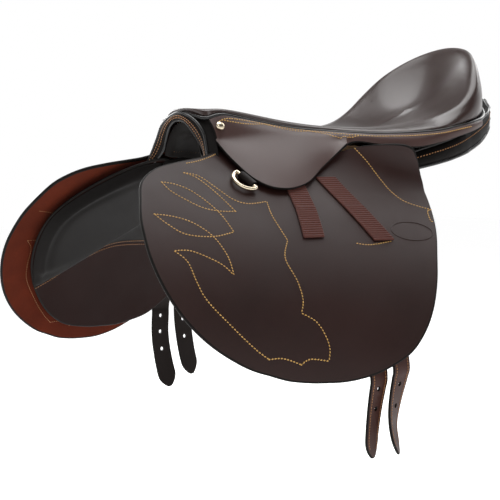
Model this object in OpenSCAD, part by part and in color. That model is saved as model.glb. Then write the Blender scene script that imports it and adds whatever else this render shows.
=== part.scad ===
// English saddle with long forward-cut flaps, standing as on a saddle rack.
// +X runs to the pommel, +Y to the rider's left, +Z up. Millimetres.
// Origin: mid-plane, level with the low inner edge of the panels.

/* [Leather] */
// Thickness of the flap leather
flap_t = 4; // [3:0.5:4.5]
// Thickness of the skirt leather
skirt_t = 3; // [2.5:0.5:3.5]
// Thickness of the sweat flap leather
sweat_t = 3; // [2:0.5:3]
// Thickness of the seat cover
cover_t = 3; // [2:0.5:3.5]
// Radius of the piping round the seat
piping_r = 2.4; // [1.8:0.2:2.6]

/* [Girth straps] */
// Width of a girth strap
strap_w = 25; // [24:1:28]
// Thickness of a girth strap
strap_t = 3; // [2.5:0.5:3.5]
// Distance between two strap holes
hole_pitch = 23; // [22:1:28]
// Radius of a strap hole
hole_r = 3; // [2.5:0.5:3.5]
// Distance from the tip of a strap to its lowest hole
hole_start = 52; // [45:1:56]

/* [Metal] */
// Radius of the stirrup bar
bar_r = 4.5; // [4:0.5:5]
// Length of the stirrup bar
bar_l = 58; // [50:1:60]
// Radius of the wire of a dee
dee_wire_r = 2.2; // [1.8:0.2:2.4]
// Inner radius of a dee
dee_in_r = 13.5; // [12:0.5:14]
// Radius of a nail head on the skirt
nail_r = 5.5; // [5:0.5:7]

/* [Knee roll] */
// Radius of the knee roll
roll_r = 8; // [6:1:9]

/* [Hidden] */
$fn = 48;

// ---- drape surface: where the flaps lie, as y over (x, z) on the left side ----
hinge_z = -12;
function unit(v) = v / norm(v);
function mix(a, b, t) = a + (b - a) * t;
function clamp01(t) = min(1, max(0, t));
function bulge(x, z) = pow(clamp01((150 - x) / 190), 1.2) * (0.25 * max(0, z) + 0.02 * pow(max(0, z), 2));
function drape_y(x, z) =
    let (d = 80 - z)
    13.8 + 1.775 * d - 0.00256 * d * d - 0.0213 * x - 0.000914 * x * d + bulge(x, z);
function drape_normal(x, z) =
    let (e = 0.5)
    unit([-(drape_y(x + e, z) - drape_y(x - e, z)), 2 * e, -(drape_y(x, z + e) - drape_y(x, z - e))]);
function on_drape(x, z, t) = [x, drape_y(x, z), z] + t * drape_normal(x, z);

// ---- solids between two point grids, and round tubes along a path ----
function flat(grid) = [for (row = grid) for (p = row) p];
function flip(faces) = [for (f = faces) [f[0], f[2], f[1]]];
function volume(pts, faces) =
    let (six = [for (f = faces) cross(pts[f[0]], pts[f[1]]) * pts[f[2]]])
    six * [for (f = faces) 1];
function quad(a, b, c, d) = [[a, b, c], [a, c, d]];
function slab_faces(n, m) =
    let (k = n * m)
    concat(
        [for (i = [0:n - 2]) for (j = [0:m - 2])
            for (t = quad(i * m + j, i * m + j + 1, (i + 1) * m + j + 1, (i + 1) * m + j)) t],
        [for (i = [0:n - 2]) for (j = [0:m - 2])
            for (t = quad(k + i * m + j, k + (i + 1) * m + j, k + (i + 1) * m + j + 1, k + i * m + j + 1)) t],
        [for (i = [0:n - 2]) for (t = quad(i * m, (i + 1) * m, k + (i + 1) * m, k + i * m)) t],
        [for (i = [0:n - 2])
            for (t = quad(i * m + m - 1, k + i * m + m - 1, k + (i + 1) * m + m - 1, (i + 1) * m + m - 1)) t],
        [for (j = [0:m - 2]) for (t = quad(j, k + j, k + j + 1, j + 1)) t],
        let (e = (n - 1) * m)
        [for (j = [0:m - 2]) for (t = quad(e + j, e + j + 1, k + e + j + 1, k + e + j)) t]);
module slab(outer, inner) {
    pts = concat(flat(outer), flat(inner));
    faces = slab_faces(len(outer), len(outer[0]));
    polyhedron(pts, volume(pts, faces) < 0 ? faces : flip(faces));
}
function ring_faces(n, m) = concat(
    [for (i = [0:n - 2]) for (j = [0:m - 1])
        for (t = quad(i * m + j, i * m + (j + 1) % m, (i + 1) * m + (j + 1) % m, (i + 1) * m + j)) t],
    [for (j = [1:m - 2]) [0, j + 1, j]],
    [for (j = [1:m - 2]) [(n - 1) * m, (n - 1) * m + j, (n - 1) * m + j + 1]]);
module loft(rings) {
    pts = flat(rings);
    faces = ring_faces(len(rings), len(rings[0]));
    polyhedron(pts, volume(pts, faces) < 0 ? faces : flip(faces));
}
// Catmull-Rom curve through a list of points, with n steps between neighbours.
function cr(a, b, c, d, t) =
    0.5 * (2 * b + (c - a) * t + (2 * a - 5 * b + 4 * c - d) * t * t + (3 * b - a - 3 * c + d) * t * t * t);
function curve(p, n) = concat(
    [for (i = [0:len(p) - 2]) for (s = [0:n - 1])
        cr(p[max(0, i - 1)], p[i], p[i + 1], p[min(len(p) - 1, i + 2)], s / n)],
    [p[len(p) - 1]]);
function loop_curve(p, n) =
    let (m = len(p))
    [for (i = [0:m - 1]) for (s = [0:n - 1])
        cr(p[(i + m - 1) % m], p[i], p[(i + 1) % m], p[(i + 2) % m], s / n)];
module tube(path, r, sides = 8) {
    n = len(path);
    loft([for (i = [0:n - 1])
        let (t = unit(path[min(n - 1, i + 1)] - path[max(0, i - 1)]),
             u = unit(cross(t, abs(t[2]) > 0.9 ? [1, 0, 0] : [0, 0, 1])),
             v = cross(t, u))
        [for (k = [0:sides - 1]) path[i] + r * (cos(360 * k / sides) * u + sin(360 * k / sides) * v)]]);
}
// Loft of loops that each go up the left side and back down the right, closed by
// strips between the two sides of the first and of the last loop.
function strip_cap(base, n) =
    let (h = n / 2)
    concat([[base, base + 1, base + n - 1], [base + h - 1, base + h, base + h + 1]],
        [for (j = [1:h - 2]) for (t = quad(base + j, base + j + 1, base + n - j - 1, base + n - j)) t]);
module saddle_loft(loops) {
    n = len(loops[0]);
    m = len(loops);
    pts = flat(loops);
    sides = [for (i = [0:m - 2]) for (j = [0:n - 1])
        for (t = quad(i * n + j, i * n + (j + 1) % n, (i + 1) * n + (j + 1) % n, (i + 1) * n + j)) t];
    faces = concat(sides, flip(strip_cap(0, n)), strip_cap((m - 1) * n, n));
    polyhedron(pts, volume(pts, faces) < 0 ? faces : flip(faces));
}
module left_and_right() {
    children();
    mirror([0, 1, 0]) children();
}

// ---- leather sheets lying on the drape surface ----
function steps(a, b, n) = [for (i = [0:n]) a + (b - a) * i / n];
function drape_grid(levels, front, rear, across, t) =
    [for (z = levels)
        [for (i = [0:across]) on_drape(mix(lookup(z, rear), lookup(z, front), i / across), z, t)]];
module drape_sheet(levels, front, rear, across, t0, t1) {
    slab(drape_grid(levels, front, rear, across, t1), drape_grid(levels, front, rear, across, t0));
}

// Flap outline: x of the front and rear edges at each height.
flap_front = [[-193, 205], [-190, 236], [-184, 260], [-176, 281], [-162, 306], [-145, 326], [-125, 342],
              [-103, 353], [-80, 359], [-57, 360], [-35, 356], [-20, 351], [-4, 342], [12, 331], [22, 317],
              [30, 301], [37, 270], [40, 243]];
flap_rear = [[-193, 178], [-190, 154], [-182, 131], [-168, 101], [-148, 77], [-125, 56], [-98, 35], [-70, 14],
             [-40, -11], [-12, -31], [2, -40], [15, -46], [35, -46], [48, -38], [58, -28]];
flap_rise_front = [[40, 62], [58, 30]];
flap_corner_front = [[39.5, 240], [42, 226], [45, 209], [49, 206], [54, 202]];
flap_corner_rear = [[39.5, 168], [42, 176], [54, 184]];
flap_levels = concat([-193, -190, -186], steps(-180, hinge_z - 1.2, 14));
flap_top_levels = concat([hinge_z + 1.2], steps(0, 40, 5));
module flap() {
    drape_sheet(flap_levels, flap_front, flap_rear, 10, -flap_t / 2, flap_t / 2);
}
module flap_top() {
    drape_sheet(flap_top_levels, flap_front, flap_rear, 10, -flap_t / 2, flap_t / 2);
    drape_sheet([39.5, 46, 52, 58], flap_rise_front, flap_rear, 4, -flap_t / 2, flap_t / 2);
    drape_sheet([39.5, 42, 45, 49, 54], flap_corner_front, flap_corner_rear, 4, -flap_t / 2, flap_t / 2);
}

// Sweat flap, padded lining and knee roll, inside the flap.
sweat_out = -9;
sweat_front = [[-175, 175], [-174, 205], [-168, 242], [-157, 265], [-142, 284], [-120, 302], [-100, 314],
               [-76, 323], [-49, 326], [-24, 322], [-6, 311], [12, 292], [27, 268], [36, 245], [40, 229],
               [44, 211]];
sweat_rear = [[-175, 155], [-172, 134], [-163, 99], [-142, 70], [-112, 45], [-80, 25], [-45, 12], [-10, 8],
              [15, 14], [36, 30], [36.5, 160], [44, 186]];
sweat_levels = concat([-175, -173, -168], steps(-160, 36, 16), [36.5, 40, 44]);
module sweat_flap() {
    drape_sheet(sweat_levels, sweat_front, sweat_rear, 8, sweat_out - sweat_t, sweat_out);
}
pad_front = [[-92, 256], [-80, 272], [-60, 286], [-40, 291], [-15, 286], [5, 266], [16, 244], [24, 218]];
pad_rear = [[-92, 232], [-72, 190], [-64, 120], [-58, 60], [-40, 40], [-10, 34], [24, 44]];
module flap_pad() {
    drape_sheet(concat([-92, -86], steps(-76, 24, 8)), pad_front, pad_rear, 8, -28, -14);
}
roll_path = [[286, -104], [303, -78], [309, -50], [306, -24], [291, -2], [267, 17], [240, 28]];
module knee_roll() {
    tube(curve([for (p = roll_path) on_drape(p[0], p[1], sweat_out - sweat_t - roll_r - 2)], 3), roll_r, 10);
}

// ---- seat: matched points on the seam, on the rim and along the middle ----
seam = [[210, 0, 95], [210, 22, 92], [207, 42, 87], [188, 46, 94], [142, 48, 87], [97, 54, 80],
        [59, 66, 77], [29, 82, 75], [-8, 98, 74], [-40, 110, 75], [-79, 118, 78], [-110, 119, 83],
        [-140, 116, 89], [-169, 105, 96], [-192, 85, 105], [-208, 58, 117], [-218, 30, 126], [-222, 0, 130]];
rim = [[205, 0, 97], [204, 18, 96], [198, 32, 97], [182, 34, 98], [142, 30, 93], [97, 34, 86],
       [59, 42, 81], [26, 52, 80], [-8, 62, 80], [-38, 72, 83], [-74, 84, 88], [-104, 96, 96],
       [-134, 107, 111], [-156, 106, 132], [-176, 89, 158], [-196, 65, 178], [-211, 36, 191], [-216, 0, 196]];
spine = [[168, 0, 98], [166, 0, 98], [163, 0, 98], [158, 0, 97], [138, 0, 95], [97, 0, 88],
         [59, 0, 82], [26, 0, 79], [-4, 0, 77], [-30, 0, 76], [-54, 0, 78], [-76, 0, 82],
         [-94, 0, 86], [-108, 0, 91], [-120, 0, 96], [-130, 0, 101], [-137, 0, 105], [-140, 0, 107]];
last = len(seam) - 1;
// The layers under the cover are thin over the pommel and full depth behind it.
depth = [0.3, 0.3, 0.3, 0.35, 0.5, 0.7, 0.9, 1, 1, 1, 1, 1, 1, 1, 1, 1, 1, 1];
over = -0.05;
function seat_point(k, f) =
    let (p = f <= 1 ? [mix(spine[k][0], rim[k][0], f), rim[k][1] * f, mix(spine[k][2], rim[k][2], f * f)]
                    : mix(rim[k], seam[k], f - 1)
                      + sin(180 * (f - 1)) * 4 * unit([rim[k][0] - spine[k][0], rim[k][1] * 1.5, 30]))
    p[1] == 0 ? [p[0], over, p[2]] : p;
function inset(p, t) =
    [p[0] > 0 ? p[0] - 0.5 * t : p[0] + 0.6 * t,
     p[1] <= 0 ? over : p[1] - 0.8 * t * clamp01(p[1] / 50),
     p[2] - t];
function seat_grid(ks, fs, t, more) =
    [for (k = ks) [for (f = fs) inset(seat_point(k, f), t + more * depth[k])]];
all_k = [0:last];
function mirror_y(p) = [p[0], -p[1], p[2]];
function seat_loop(f, t, more) =
    let (half = [for (k = all_k)
            let (p = inset(seat_point(k, f), t + more * depth[k]))
            [p[0], k == 0 || k == last ? 0 : max(1.5, p[1]), p[2]]])
    concat(half, [for (k = [last - 1:-1:1]) mirror_y(half[k])]);
seat_f = [0, 0.2, 0.4, 0.6, 0.8, 1, 1.25, 1.5, 1.75, 2];
module seat_cover() {
    saddle_loft(concat([for (f = seat_f) seat_loop(f, cover_t, 0)],
                       [for (i = [len(seat_f) - 1:-1:0]) seat_loop(seat_f[i], 0, 0)]));
}
foam_f = [0, 0.2, 0.4, 0.6, 0.8, 1, 1.25, 1.5];
module seat_foam() {
    saddle_loft(concat([for (f = foam_f) seat_loop(f, cover_t + 0.5, 0)],
                       [for (i = [len(foam_f) - 1:-1:0]) seat_loop(foam_f[i], cover_t + 0.5, 8.5)]));
}
seam_path = [for (k = all_k)
    seam[k] + [k > 14 ? -1.5 : k < 3 ? 1.2 : 0, seam[k][1] > 0 ? 1.8 : 0, k > 12 ? -4 : -3]];
module seat_piping() {
    one_side = curve(seam_path, 2);
    n = len(one_side);
    tube(concat(one_side, [for (i = [n - 2:-1:1]) mirror_y(one_side[i])], [one_side[0]]), piping_r, 8);
}

// ---- tree: laminated wood ring with steel plates, springs and webs ----
function tree_point(k, f) =
    let (edge = mix(mix(seam[k], rim[k], 0.5), spine[k], 0.12),
         inner = seat_point(k, 0.5) - [0, 0, 4 * depth[k]],
         p = mix(inner, edge, f) - [0, 0, 4 + 16 * depth[k]])
    p[1] <= 0 ? [p[0], over, p[2]] : p;
function tree_t(k) = 2.5 + 4 * depth[k];
function tree_grid(ks, fs, t) = [for (k = ks) [for (f = fs) tree_point(k, f) - [0, 0, t * tree_t(k)]]];
module tree_frame() {
    left_and_right() slab(tree_grid(all_k, [1, 0.66, 0.33, 0], 0), tree_grid(all_k, [1, 0.66, 0.33, 0], 1));
}
module cantle_plate() {
    ks = [14:last];
    fs = [0.8, 0.5, 0.2];
    left_and_right() slab(tree_grid(ks, fs, 1.06), tree_grid(ks, fs, 1.4));
}
module tree_spring() {
    slab(tree_grid([3:12], [0.65, 0.35], 1.06), tree_grid([3:12], [0.65, 0.35], 1.34));
}
rivet_k = [4, 5, 6, 9, 11];
module tree_rivets() {
    for (k = rivet_k)
        left_and_right()
            translate(tree_point(k, 0.5) - [0, 0, 1.34 * tree_t(k) + 2.85]) cylinder(h = 2, r = 3, $fn = 20);
}

// Arched steel plates: a band in the Y-Z plane, extruded along X.
function edge_normal(p, i) =
    let (t = unit(p[min(len(p) - 1, i + 1)] - p[max(0, i - 1)])) [-t[1], t[0]];
function band(path, t0, t1) = concat(
    [for (i = [0:len(path) - 1]) path[i] + t0 * edge_normal(path, i)],
    [for (i = [len(path) - 1:-1:0]) path[i] + t1 * edge_normal(path, i)]);
module plate_yz(outline, x, t) {
    translate([x, 0, 0]) rotate([90, 0, 90]) linear_extrude(t) polygon(outline);
}
arch_half = [[0, 76.5], [16, 74.5], [28, 67], [35, 58], [39, 50]];
module arch(x, w, t) {
    path = concat([for (i = [len(arch_half) - 1:-1:1]) [-arch_half[i][0], arch_half[i][1]]], arch_half);
    plate_yz(band(curve(path, 3), -w / 2, w / 2), x, t);
}
module head_plate() {
    arch(199, 12, 4);
}
module gullet_plate() {
    arch(184, 12, 3);
}

// Webs: thin straps over the tree, long ones front to back and one across the waist.
module seat_web_long() {
    ks = [3:14];
    fs = [0.4, 0.2, 0];
    left_and_right() slab(seat_grid(ks, fs, cover_t + 0.9, 8.5), seat_grid(ks, fs, cover_t + 2.1, 8.5));
}
module seat_web_cross() {
    path = [[-46, 62.4], [-30, 62.6], [0, 62.6], [30, 62.6], [46, 62.4]];
    plate_yz(band(path, 0, 1.2), 26, 32);
}

// ---- stirrup bar with its hinged safety catch ----
bar_at = [104, 58, 50];
plate_y = 40;
module stirrup_bar() {
    bar_end = bar_at[0] + bar_l;
    translate(bar_at) rotate([0, 90, 0]) cylinder(h = bar_l, r = bar_r);
    translate([bar_end - 1, bar_at[1] - bar_r, bar_at[2] - bar_r]) cube([9, 2 * bar_r, 2 * bar_r]);
    translate([bar_end, plate_y, bar_at[2] - bar_r]) cube([8, bar_at[1] - plate_y, 2 * bar_r]);
    translate([bar_end - 15, plate_y - 3, bar_at[2] - bar_r]) cube([23, 4, 20]);
    difference() {
        translate([bar_at[0] - 9, bar_at[1] - 1.2, bar_at[2] - 1.8]) cube([10, 2.4, 3.6]);
        translate(bar_at - [6, -3, 0]) rotate([90, 0, 0]) cylinder(h = 6, r = catch_pin_r + 0.06);
    }
}
catch_pin_r = 0.9;
module bar_catch() {
    pivot = bar_at - [6, 0, 0];
    difference() {
        translate(pivot + [-22, -3, -2.6]) cube([26, 6, 5.2]);
        translate(pivot + [-4.5, -1.7, -3]) cube([10, 3.4, 6]);
    }
    translate(pivot + [0, 3, 0]) rotate([90, 0, 0]) cylinder(h = 6, r = catch_pin_r);
}

// ---- skirt: a fixed strip under the seam and a lobe that lifts ----
skirt_hinge = [[204, 58, 64], [45, 88, 62]];
strip_top = [[206, 45.5, 82.5], [190, 49.5, 86.5], [165, 50.5, 84], [142, 51.5, 80.5], [118, 54.5, 76.5],
             [97, 57.5, 73.5], [78, 64.5, 71.5], [59, 70.5, 70.5], [44, 79.5, 69.5], [28, 86.5, 68.5],
             [10, 95.5, 67.5], [-8, 102.5, 67.5], [-40, 113.5, 68.5], [-79, 122, 71.5], [-104, 123, 75.5],
             [-140, 120, 82.5], [-166, 110, 89]];
strip_low = [[38, 91, 60], [24, 97, 62], [3, 106, 59], [-18, 115, 57], [-46, 124, 56], [-80, 127, 62],
             [-104, 126, 68], [-140, 120.5, 77], [-166, 110.5, 84]];
function hinge_point(t, drop) = mix(skirt_hinge[0], skirt_hinge[1], t) - [0, -0.85, 0.5] * drop;
function offset_y(p, t) = [p[0], p[1] + t * 0.85, p[2] + t * 0.5];
module skirt_strip() {
    low = concat([for (i = [0:7]) hinge_point(i / 7, -1.5)], strip_low);
    function row(t, bow) = [for (i = [0:len(low) - 1])
        offset_y(mix(strip_top[i], low[i], t) + [0, bow, bow], 0)];
    function grid(t0) = [for (t = [0, 0.35, 0.7, 1])
        [for (p = row(t, 1.5 * sin(180 * t))) offset_y(p, t0)]];
    slab(grid(skirt_t / 2), grid(-skirt_t / 2));
}
// Lower edge of the lobe: x, z and how far it stands off the flap in y.
lobe_edge = [[206, 61, 21], [203, 45, 16], [197, 29, 13], [190, 18, 12], [179, 10.5, 12], [164, 7.5, 12],
             [145, 8.5, 12], [121, 15, 12], [92, 30, 12], [64, 46, 12], [47, 58, 12]];
module skirt() {
    n = len(lobe_edge) - 1;
    top = [for (i = [0:n]) hinge_point(i / n, 1.5)];
    low = [for (e = lobe_edge) [e[0], drape_y(e[0], e[1]) + e[2], e[1]]];
    function grid(t0) = [for (t = [0, 0.25, 0.5, 0.75, 1])
        [for (i = [0:n]) offset_y(mix(top[i], low[i], t), t0 + 3 * sin(180 * t) * sin(180 * i / n))]];
    slab(grid(skirt_t / 2), grid(-skirt_t / 2));
}
module skirt_nail() {
    translate([199, 56, 77]) rotate([-60, 0, 0]) {
        translate([0, 0, -4]) cylinder(h = 6, r = 1.5);
        translate([0, 0, 1.7]) rotate_extrude() polygon(concat(
            [[0, 0]], [for (a = [0:15:90]) [nail_r * cos(a), 0.8 + 3 * sin(a)]], [[0, 3.8]]));
    }
}

// ---- panel: stuffed cushion along the tree, as sections [x, six y-z points] ----
panel_sections = [
    [-244, [[14, 120], [14, 124], [24, 126], [32, 126], [32, 120], [22, 118]]],
    [-232, [[16, 102], [16, 113], [38, 116], [56, 114], [56, 103], [36, 100]]],
    [-214, [[20, 82], [20, 102], [50, 105], [75, 104], [76, 88], [46, 82]]],
    [-188, [[26, 62], [26, 84], [58, 88], [90, 94], [94, 71], [60, 64]]],
    [-150, [[30, 45], [30, 66], [66, 68], [104, 80], [110, 55], [70, 46]]],
    [-108, [[32, 33], [32, 50], [70, 52], [116, 66], [120, 43], [78, 34]]],
    [-64, [[32, 24], [32, 40], [66, 41], [110, 53], [117, 33], [76, 25]]],
    [-20, [[32, 18], [32, 38], [58, 39], [90, 39], [97, 24], [68, 14]]],
    [20, [[32, 12], [32, 40], [52, 41], [74, 38], [78, 22], [58, 9]]],
    [60, [[32, 10], [32, 43], [43, 43], [54, 36], [62, 14], [50, 5]]],
    [100, [[32, 8], [32, 46], [38, 44], [45, 36], [60, 8], [47, 3]]],
    [140, [[34, 10], [33, 43.5], [38, 43], [45, 36], [58, 8], [46, 4]]],
    [180, [[40, 18], [38, 42], [41, 42], [45, 36], [56, 14], [48, 12]]],
    [204, [[49, 26], [47, 38], [49, 38], [52, 34], [56, 26], [52, 24]]]];
module panel() {
    sections = [for (s = panel_sections) [for (p = loop_curve(s[1], 2)) [s[0], p[0], p[1]]]];
    loft(sections);
}

// ---- pommel facing: black leather band closing the front of the arch ----
facing_out = [[214.2, -0.05, 94], [214.2, 12, 92], [213.6, 26, 87], [213, 39, 79], [212, 49, 66],
              [214, 57, 50], [216, 62, 40]];
facing_in = [[214.2, -0.05, 86], [214.2, 12, 84], [213.4, 22, 77], [211, 31, 66], [209, 39, 55],
             [210, 46, 46], [214, 53, 37]];
module pommel_facing() {
    function side(dx) = [for (i = [0:len(facing_out) - 1])
        [for (t = [0, 0.5, 1]) mix(facing_out[i], facing_in[i], t) + [dx + 2 * sin(180 * t), 0, 0]]];
    left_and_right() slab(side(3), side(0));
}

// ---- gullet lining: leather between the panels and under the arch, sections [x, y-z points] ----
function flat_section(w, z) = [[0, z + 1], [w * 0.25, z + 1], [w * 0.5, z + 0.8], [w * 0.8, z + 0.3], [w, z]];
gullet_sections = [
    [-232, flat_section(12, 107)], [-214, flat_section(16, 96)], [-188, flat_section(22, 78)],
    [-150, flat_section(26, 60)], [-108, flat_section(28.5, 45)], [-64, flat_section(28.5, 35.5)],
    [-20, flat_section(29, 33)], [20, flat_section(29.5, 34.5)], [60, flat_section(29.5, 37)],
    [100, flat_section(29.5, 40)],
    [130, [[0, 48], [8, 47.5], [15, 46], [23, 43], [29.5, 41]]],
    [155, [[0, 60], [10, 59], [19, 54.5], [26, 48], [30, 42]]],
    [184, [[0, 69], [13, 67], [22.5, 61], [28.5, 52.5], [31, 43]]],
    [205, [[0, 69], [13, 67], [22.5, 61], [28.5, 52.5], [32, 43]]],
    [210, [[0, 81.5], [12, 79.5], [21, 73], [29.5, 62], [37, 45]]]];
module gullet_lining() {
    function side(dz) = [for (s = gullet_sections)
        [for (p = s[1]) [s[0] + (s[0] > 204 ? -dz * 0.8 : 0), p[0] == 0 ? over : p[0], p[1] + dz]]];
    left_and_right() slab(side(1.5), side(0));
}

// ---- girth webs and straps ----
// One edge of a web: up from the straps, round the outside of the tree and over its top.
// x, y beside the tree, and z over its outer and its inner edge.
function web_edge(e) =
    let (x = e[0], y = e[1],
         side = [on_drape(x, 31, -5.2), on_drape(x, 35, -5.2), [x, 62, 38.5], [x, 52, 41],
                 [x, y + 6, 46], [x, y + 2.5, 52], [x, y + 0.5, 60], [x, y, e[2] - 3], [x, y - 2, e[2]],
                 [x, 15, e[3]], [x, 0, e[3]]])
    concat(side, [for (i = [len(side) - 2:-1:0]) mirror_y(side[i])]);
function web_upper(path) = [for (i = [0:len(path) - 1])
    let (a = path[max(0, i - 1)], b = path[min(len(path) - 1, i + 1)], t = unit([a[1] - b[1], a[2] - b[2]]))
    path[i] + 1.2 * [0, -t[1], t[0]]];
module girth_web(front, rear) {
    low = [web_edge(front), web_edge(rear)];
    slab([for (p = low) web_upper(p)], low);
}
web_front = [[145, 37.5, 80.1, 82.4], [117, 39.5, 73.8, 75.4]];
web_rear = [[113, 40, 72.8, 74.3], [85, 44, 66.7, 67.1]];
strap_out = -3.8;
// Strap centre x at the top, x and z where it leaves the flap, side, length of the tail, holes in the tail.
straps = [["left_front", 131, 141, -190, 1, 82, 2], ["left_rear", 100, 113, -180, 1, 90, 2],
          ["right_front", 90, 68, -156, -1, 108, 3], ["right_rear", 55, 36, -134, -1, 114, 3]];
function strap(name) = [for (s = straps) if (s[0] == name) s][0];
module billet(name) {
    s = strap(name);
    front = [[s[3], s[2] + strap_w / 2], [30, s[1] + strap_w / 2]];
    rear = [[s[3], s[2] - strap_w / 2], [30, s[1] - strap_w / 2]];
    mirror([0, s[4] > 0 ? 0 : 1, 0])
        drape_sheet(steps(s[3], 30, 12), front, rear, 1, strap_out - strap_t, strap_out);
}
tail_gap = 3.8;
function tail_pivot(name) =
    let (s = strap(name), p = on_drape(s[2], s[3], strap_out - strap_t / 2)) [p[0], p[1], s[3] - tail_gap];
module billet_tail(name) {
    s = strap(name);
    w = strap_w / 2;
    l = s[5];
    p = tail_pivot(name);
    mirror([0, s[4] > 0 ? 0 : 1, 0])
        translate([p[0], p[1] + strap_t / 2, p[2]]) rotate([90, 0, 0]) linear_extrude(strap_t) difference() {
            polygon([[-w, -1], [w, -1], [w, 20 - l], [w - 5, 8 - l], [2, -l], [-2, -l], [5 - w, 8 - l],
                     [-w, 20 - l]]);
            for (i = [0:s[6] - 1]) translate([0, hole_start - l + i * hole_pitch]) circle(r = hole_r);
        }
}

// ---- dee: half-round ring on a straight bar, held by a leather chape ----
dee_lift = 6.8;
dee_at = on_drape(200, 12, dee_lift);
dee_along = unit(on_drape(193.5, 0, dee_lift) - on_drape(206.5, 24, dee_lift));
dee_up = unit(drape_normal(200, 12) - (drape_normal(200, 12) * dee_along) * dee_along);
dee_out = cross(dee_along, dee_up);
dee_fwd = dee_out[0] > 0 ? dee_out : -dee_out;
dee_mid_r = dee_in_r + dee_wire_r;
module dee_frame() {
    x = dee_along;
    y = dee_fwd;
    z = cross(x, y);
    multmatrix([[x[0], y[0], z[0], dee_at[0]], [x[1], y[1], z[1], dee_at[1]], [x[2], y[2], z[2], dee_at[2]]])
        children();
}
module dee() {
    r = dee_wire_r;
    dee_frame() {
        rotate_extrude(angle = 180) translate([dee_mid_r, 0]) circle(r = r, $fn = 16);
        translate([-dee_mid_r, 0, 0]) rotate([0, 90, 0]) cylinder(h = 2 * dee_mid_r, r = r, $fn = 16);
        for (s = [-1, 1]) translate([s * dee_mid_r, 0, 0]) sphere(r = r, $fn = 16);
    }
}
chape_w = 20;
module dee_chape() {
    up = cross(dee_along, dee_fwd) * drape_normal(200, 12) > 0 ? 1 : -1;
    loop_in = dee_wire_r + 0.5;
    dee_frame() difference() {
        union() {
            translate([-chape_w / 2, 0, 0]) rotate([0, 90, 0]) cylinder(h = chape_w, r = loop_in + 1.5);
            translate([-chape_w / 2, -26, up < 0 ? loop_in - 0.5 : -loop_in - 1.5]) cube([chape_w, 26, 2]);
        }
        translate([-chape_w / 2 - 1, 0, 0]) rotate([0, 90, 0]) cylinder(h = chape_w + 2, r = loop_in);
    }
}

// ---- ribbed web tabs hanging over the flap ----
// Name, centre x at the root, at the flap hinge and at the foot, z of the foot and of the root.
tabs = [["front", 138, 146, 159, -47, 8], ["rear", 89, 81, 72, -52, 16]];
tab_w = 25;
tab_t = 2;
tab_z = hinge_z - 4;
module web_tab(i) {
    s = tabs[i];
    centre = [[s[4], s[3]], [tab_z, s[2]]];
    front = [for (c = centre) [c[0], c[1] + tab_w / 2]];
    rear = [for (c = centre) [c[0], c[1] - tab_w / 2]];
    drape_sheet(steps(s[4], tab_z, 3), front, rear, 2, flap_t / 2 + 1, flap_t / 2 + 1 + tab_t);
}
module tab_roots() {
    for (s = tabs) {
        centre = [[hinge_z + 3, s[2]], [s[5], s[1]]];
        front = [for (c = centre) [c[0], c[1] + tab_w / 2]];
        rear = [for (c = centre) [c[0], c[1] - tab_w / 2]];
        drape_sheet(steps(hinge_z + 3, s[5], 3), front, rear, 2, flap_t / 2 + 0.3, flap_t / 2 + 0.3 + tab_t);
    }
}
module right() {
    mirror([0, 1, 0]) children();
}

color("burlywood") tree_frame();
color("slategray") head_plate();
color("slategray") gullet_plate();
color("slategray") cantle_plate();
color("gray") tree_spring();  // tree_spring_left
color("gray") right() tree_spring();  // tree_spring_right
color("silver") tree_rivets();
color("silver") stirrup_bar();  // stirrup_bar_left
color("silver") right() stirrup_bar();  // stirrup_bar_right
color("gainsboro") bar_catch();  // bar_catch_left
color("gainsboro") right() bar_catch();  // bar_catch_right
color("tan") seat_web_long();
color("wheat") seat_web_cross();
color("beige") seat_foam();
color("#2c1d1a") seat_cover();
color("#111111") seat_piping();
color("#3c2823") skirt_strip();  // skirt_strip_left
color("#3c2823") right() skirt_strip();  // skirt_strip_right
color("#432d28") skirt();  // skirt_left
color("#432d28") right() skirt();  // skirt_right
color("goldenrod") skirt_nail();  // skirt_nail_left
color("goldenrod") right() skirt_nail();  // skirt_nail_right
color("#3a2621") flap_top();  // flap_top_left
color("#3a2621") right() flap_top();  // flap_top_right
color("#39241f") flap();  // flap_left
color("#39241f") right() flap();  // flap_right
color("#5a3020") sweat_flap();  // sweat_flap_left
color("#5a3020") right() sweat_flap();  // sweat_flap_right
color("#1b1817") flap_pad();  // flap_pad_left
color("#1b1817") right() flap_pad();  // flap_pad_right
color("#201a18") knee_roll();  // knee_roll_left
color("#201a18") right() knee_roll();  // knee_roll_right
color("#1a1716") panel();  // panel_left
color("#1a1716") right() panel();  // panel_right
color("#151312") pommel_facing();
color("#151312") gullet_lining();
color("ivory") girth_web(web_front[0], web_front[1]);  // girth_web_front
color("ivory") girth_web(web_rear[0], web_rear[1]);  // girth_web_rear
color("saddlebrown") billet("left_front");  // billet_left_front
color("saddlebrown") billet("left_rear");  // billet_left_rear
color("saddlebrown") billet("right_front");  // billet_right_front
color("saddlebrown") billet("right_rear");  // billet_right_rear
color("sienna") billet_tail("left_front");  // billet_tail_left_front
color("sienna") billet_tail("left_rear");  // billet_tail_left_rear
color("#2a1b17") billet_tail("right_front");  // billet_tail_right_front
color("#2a1b17") billet_tail("right_rear");  // billet_tail_right_rear
color("#2a1b17") dee_chape();  // dee_chape_left
color("#2a1b17") right() dee_chape();  // dee_chape_right
color("gold") dee();  // dee_left
color("gold") right() dee();  // dee_right
color("#5a2c24") tab_roots();  // tab_root_left
color("#5a2c24") right() tab_roots();  // tab_root_right
color("#64332a") web_tab(0);  // web_tab_left_front
color("#64332a") web_tab(1);  // web_tab_left_rear
color("#64332a") right() web_tab(0);  // web_tab_right_front
color("#64332a") right() web_tab(1);  // web_tab_right_rear
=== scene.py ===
"""The looks of the english saddle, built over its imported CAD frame. Lengths are millimetres until mesh()."""
import math

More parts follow.
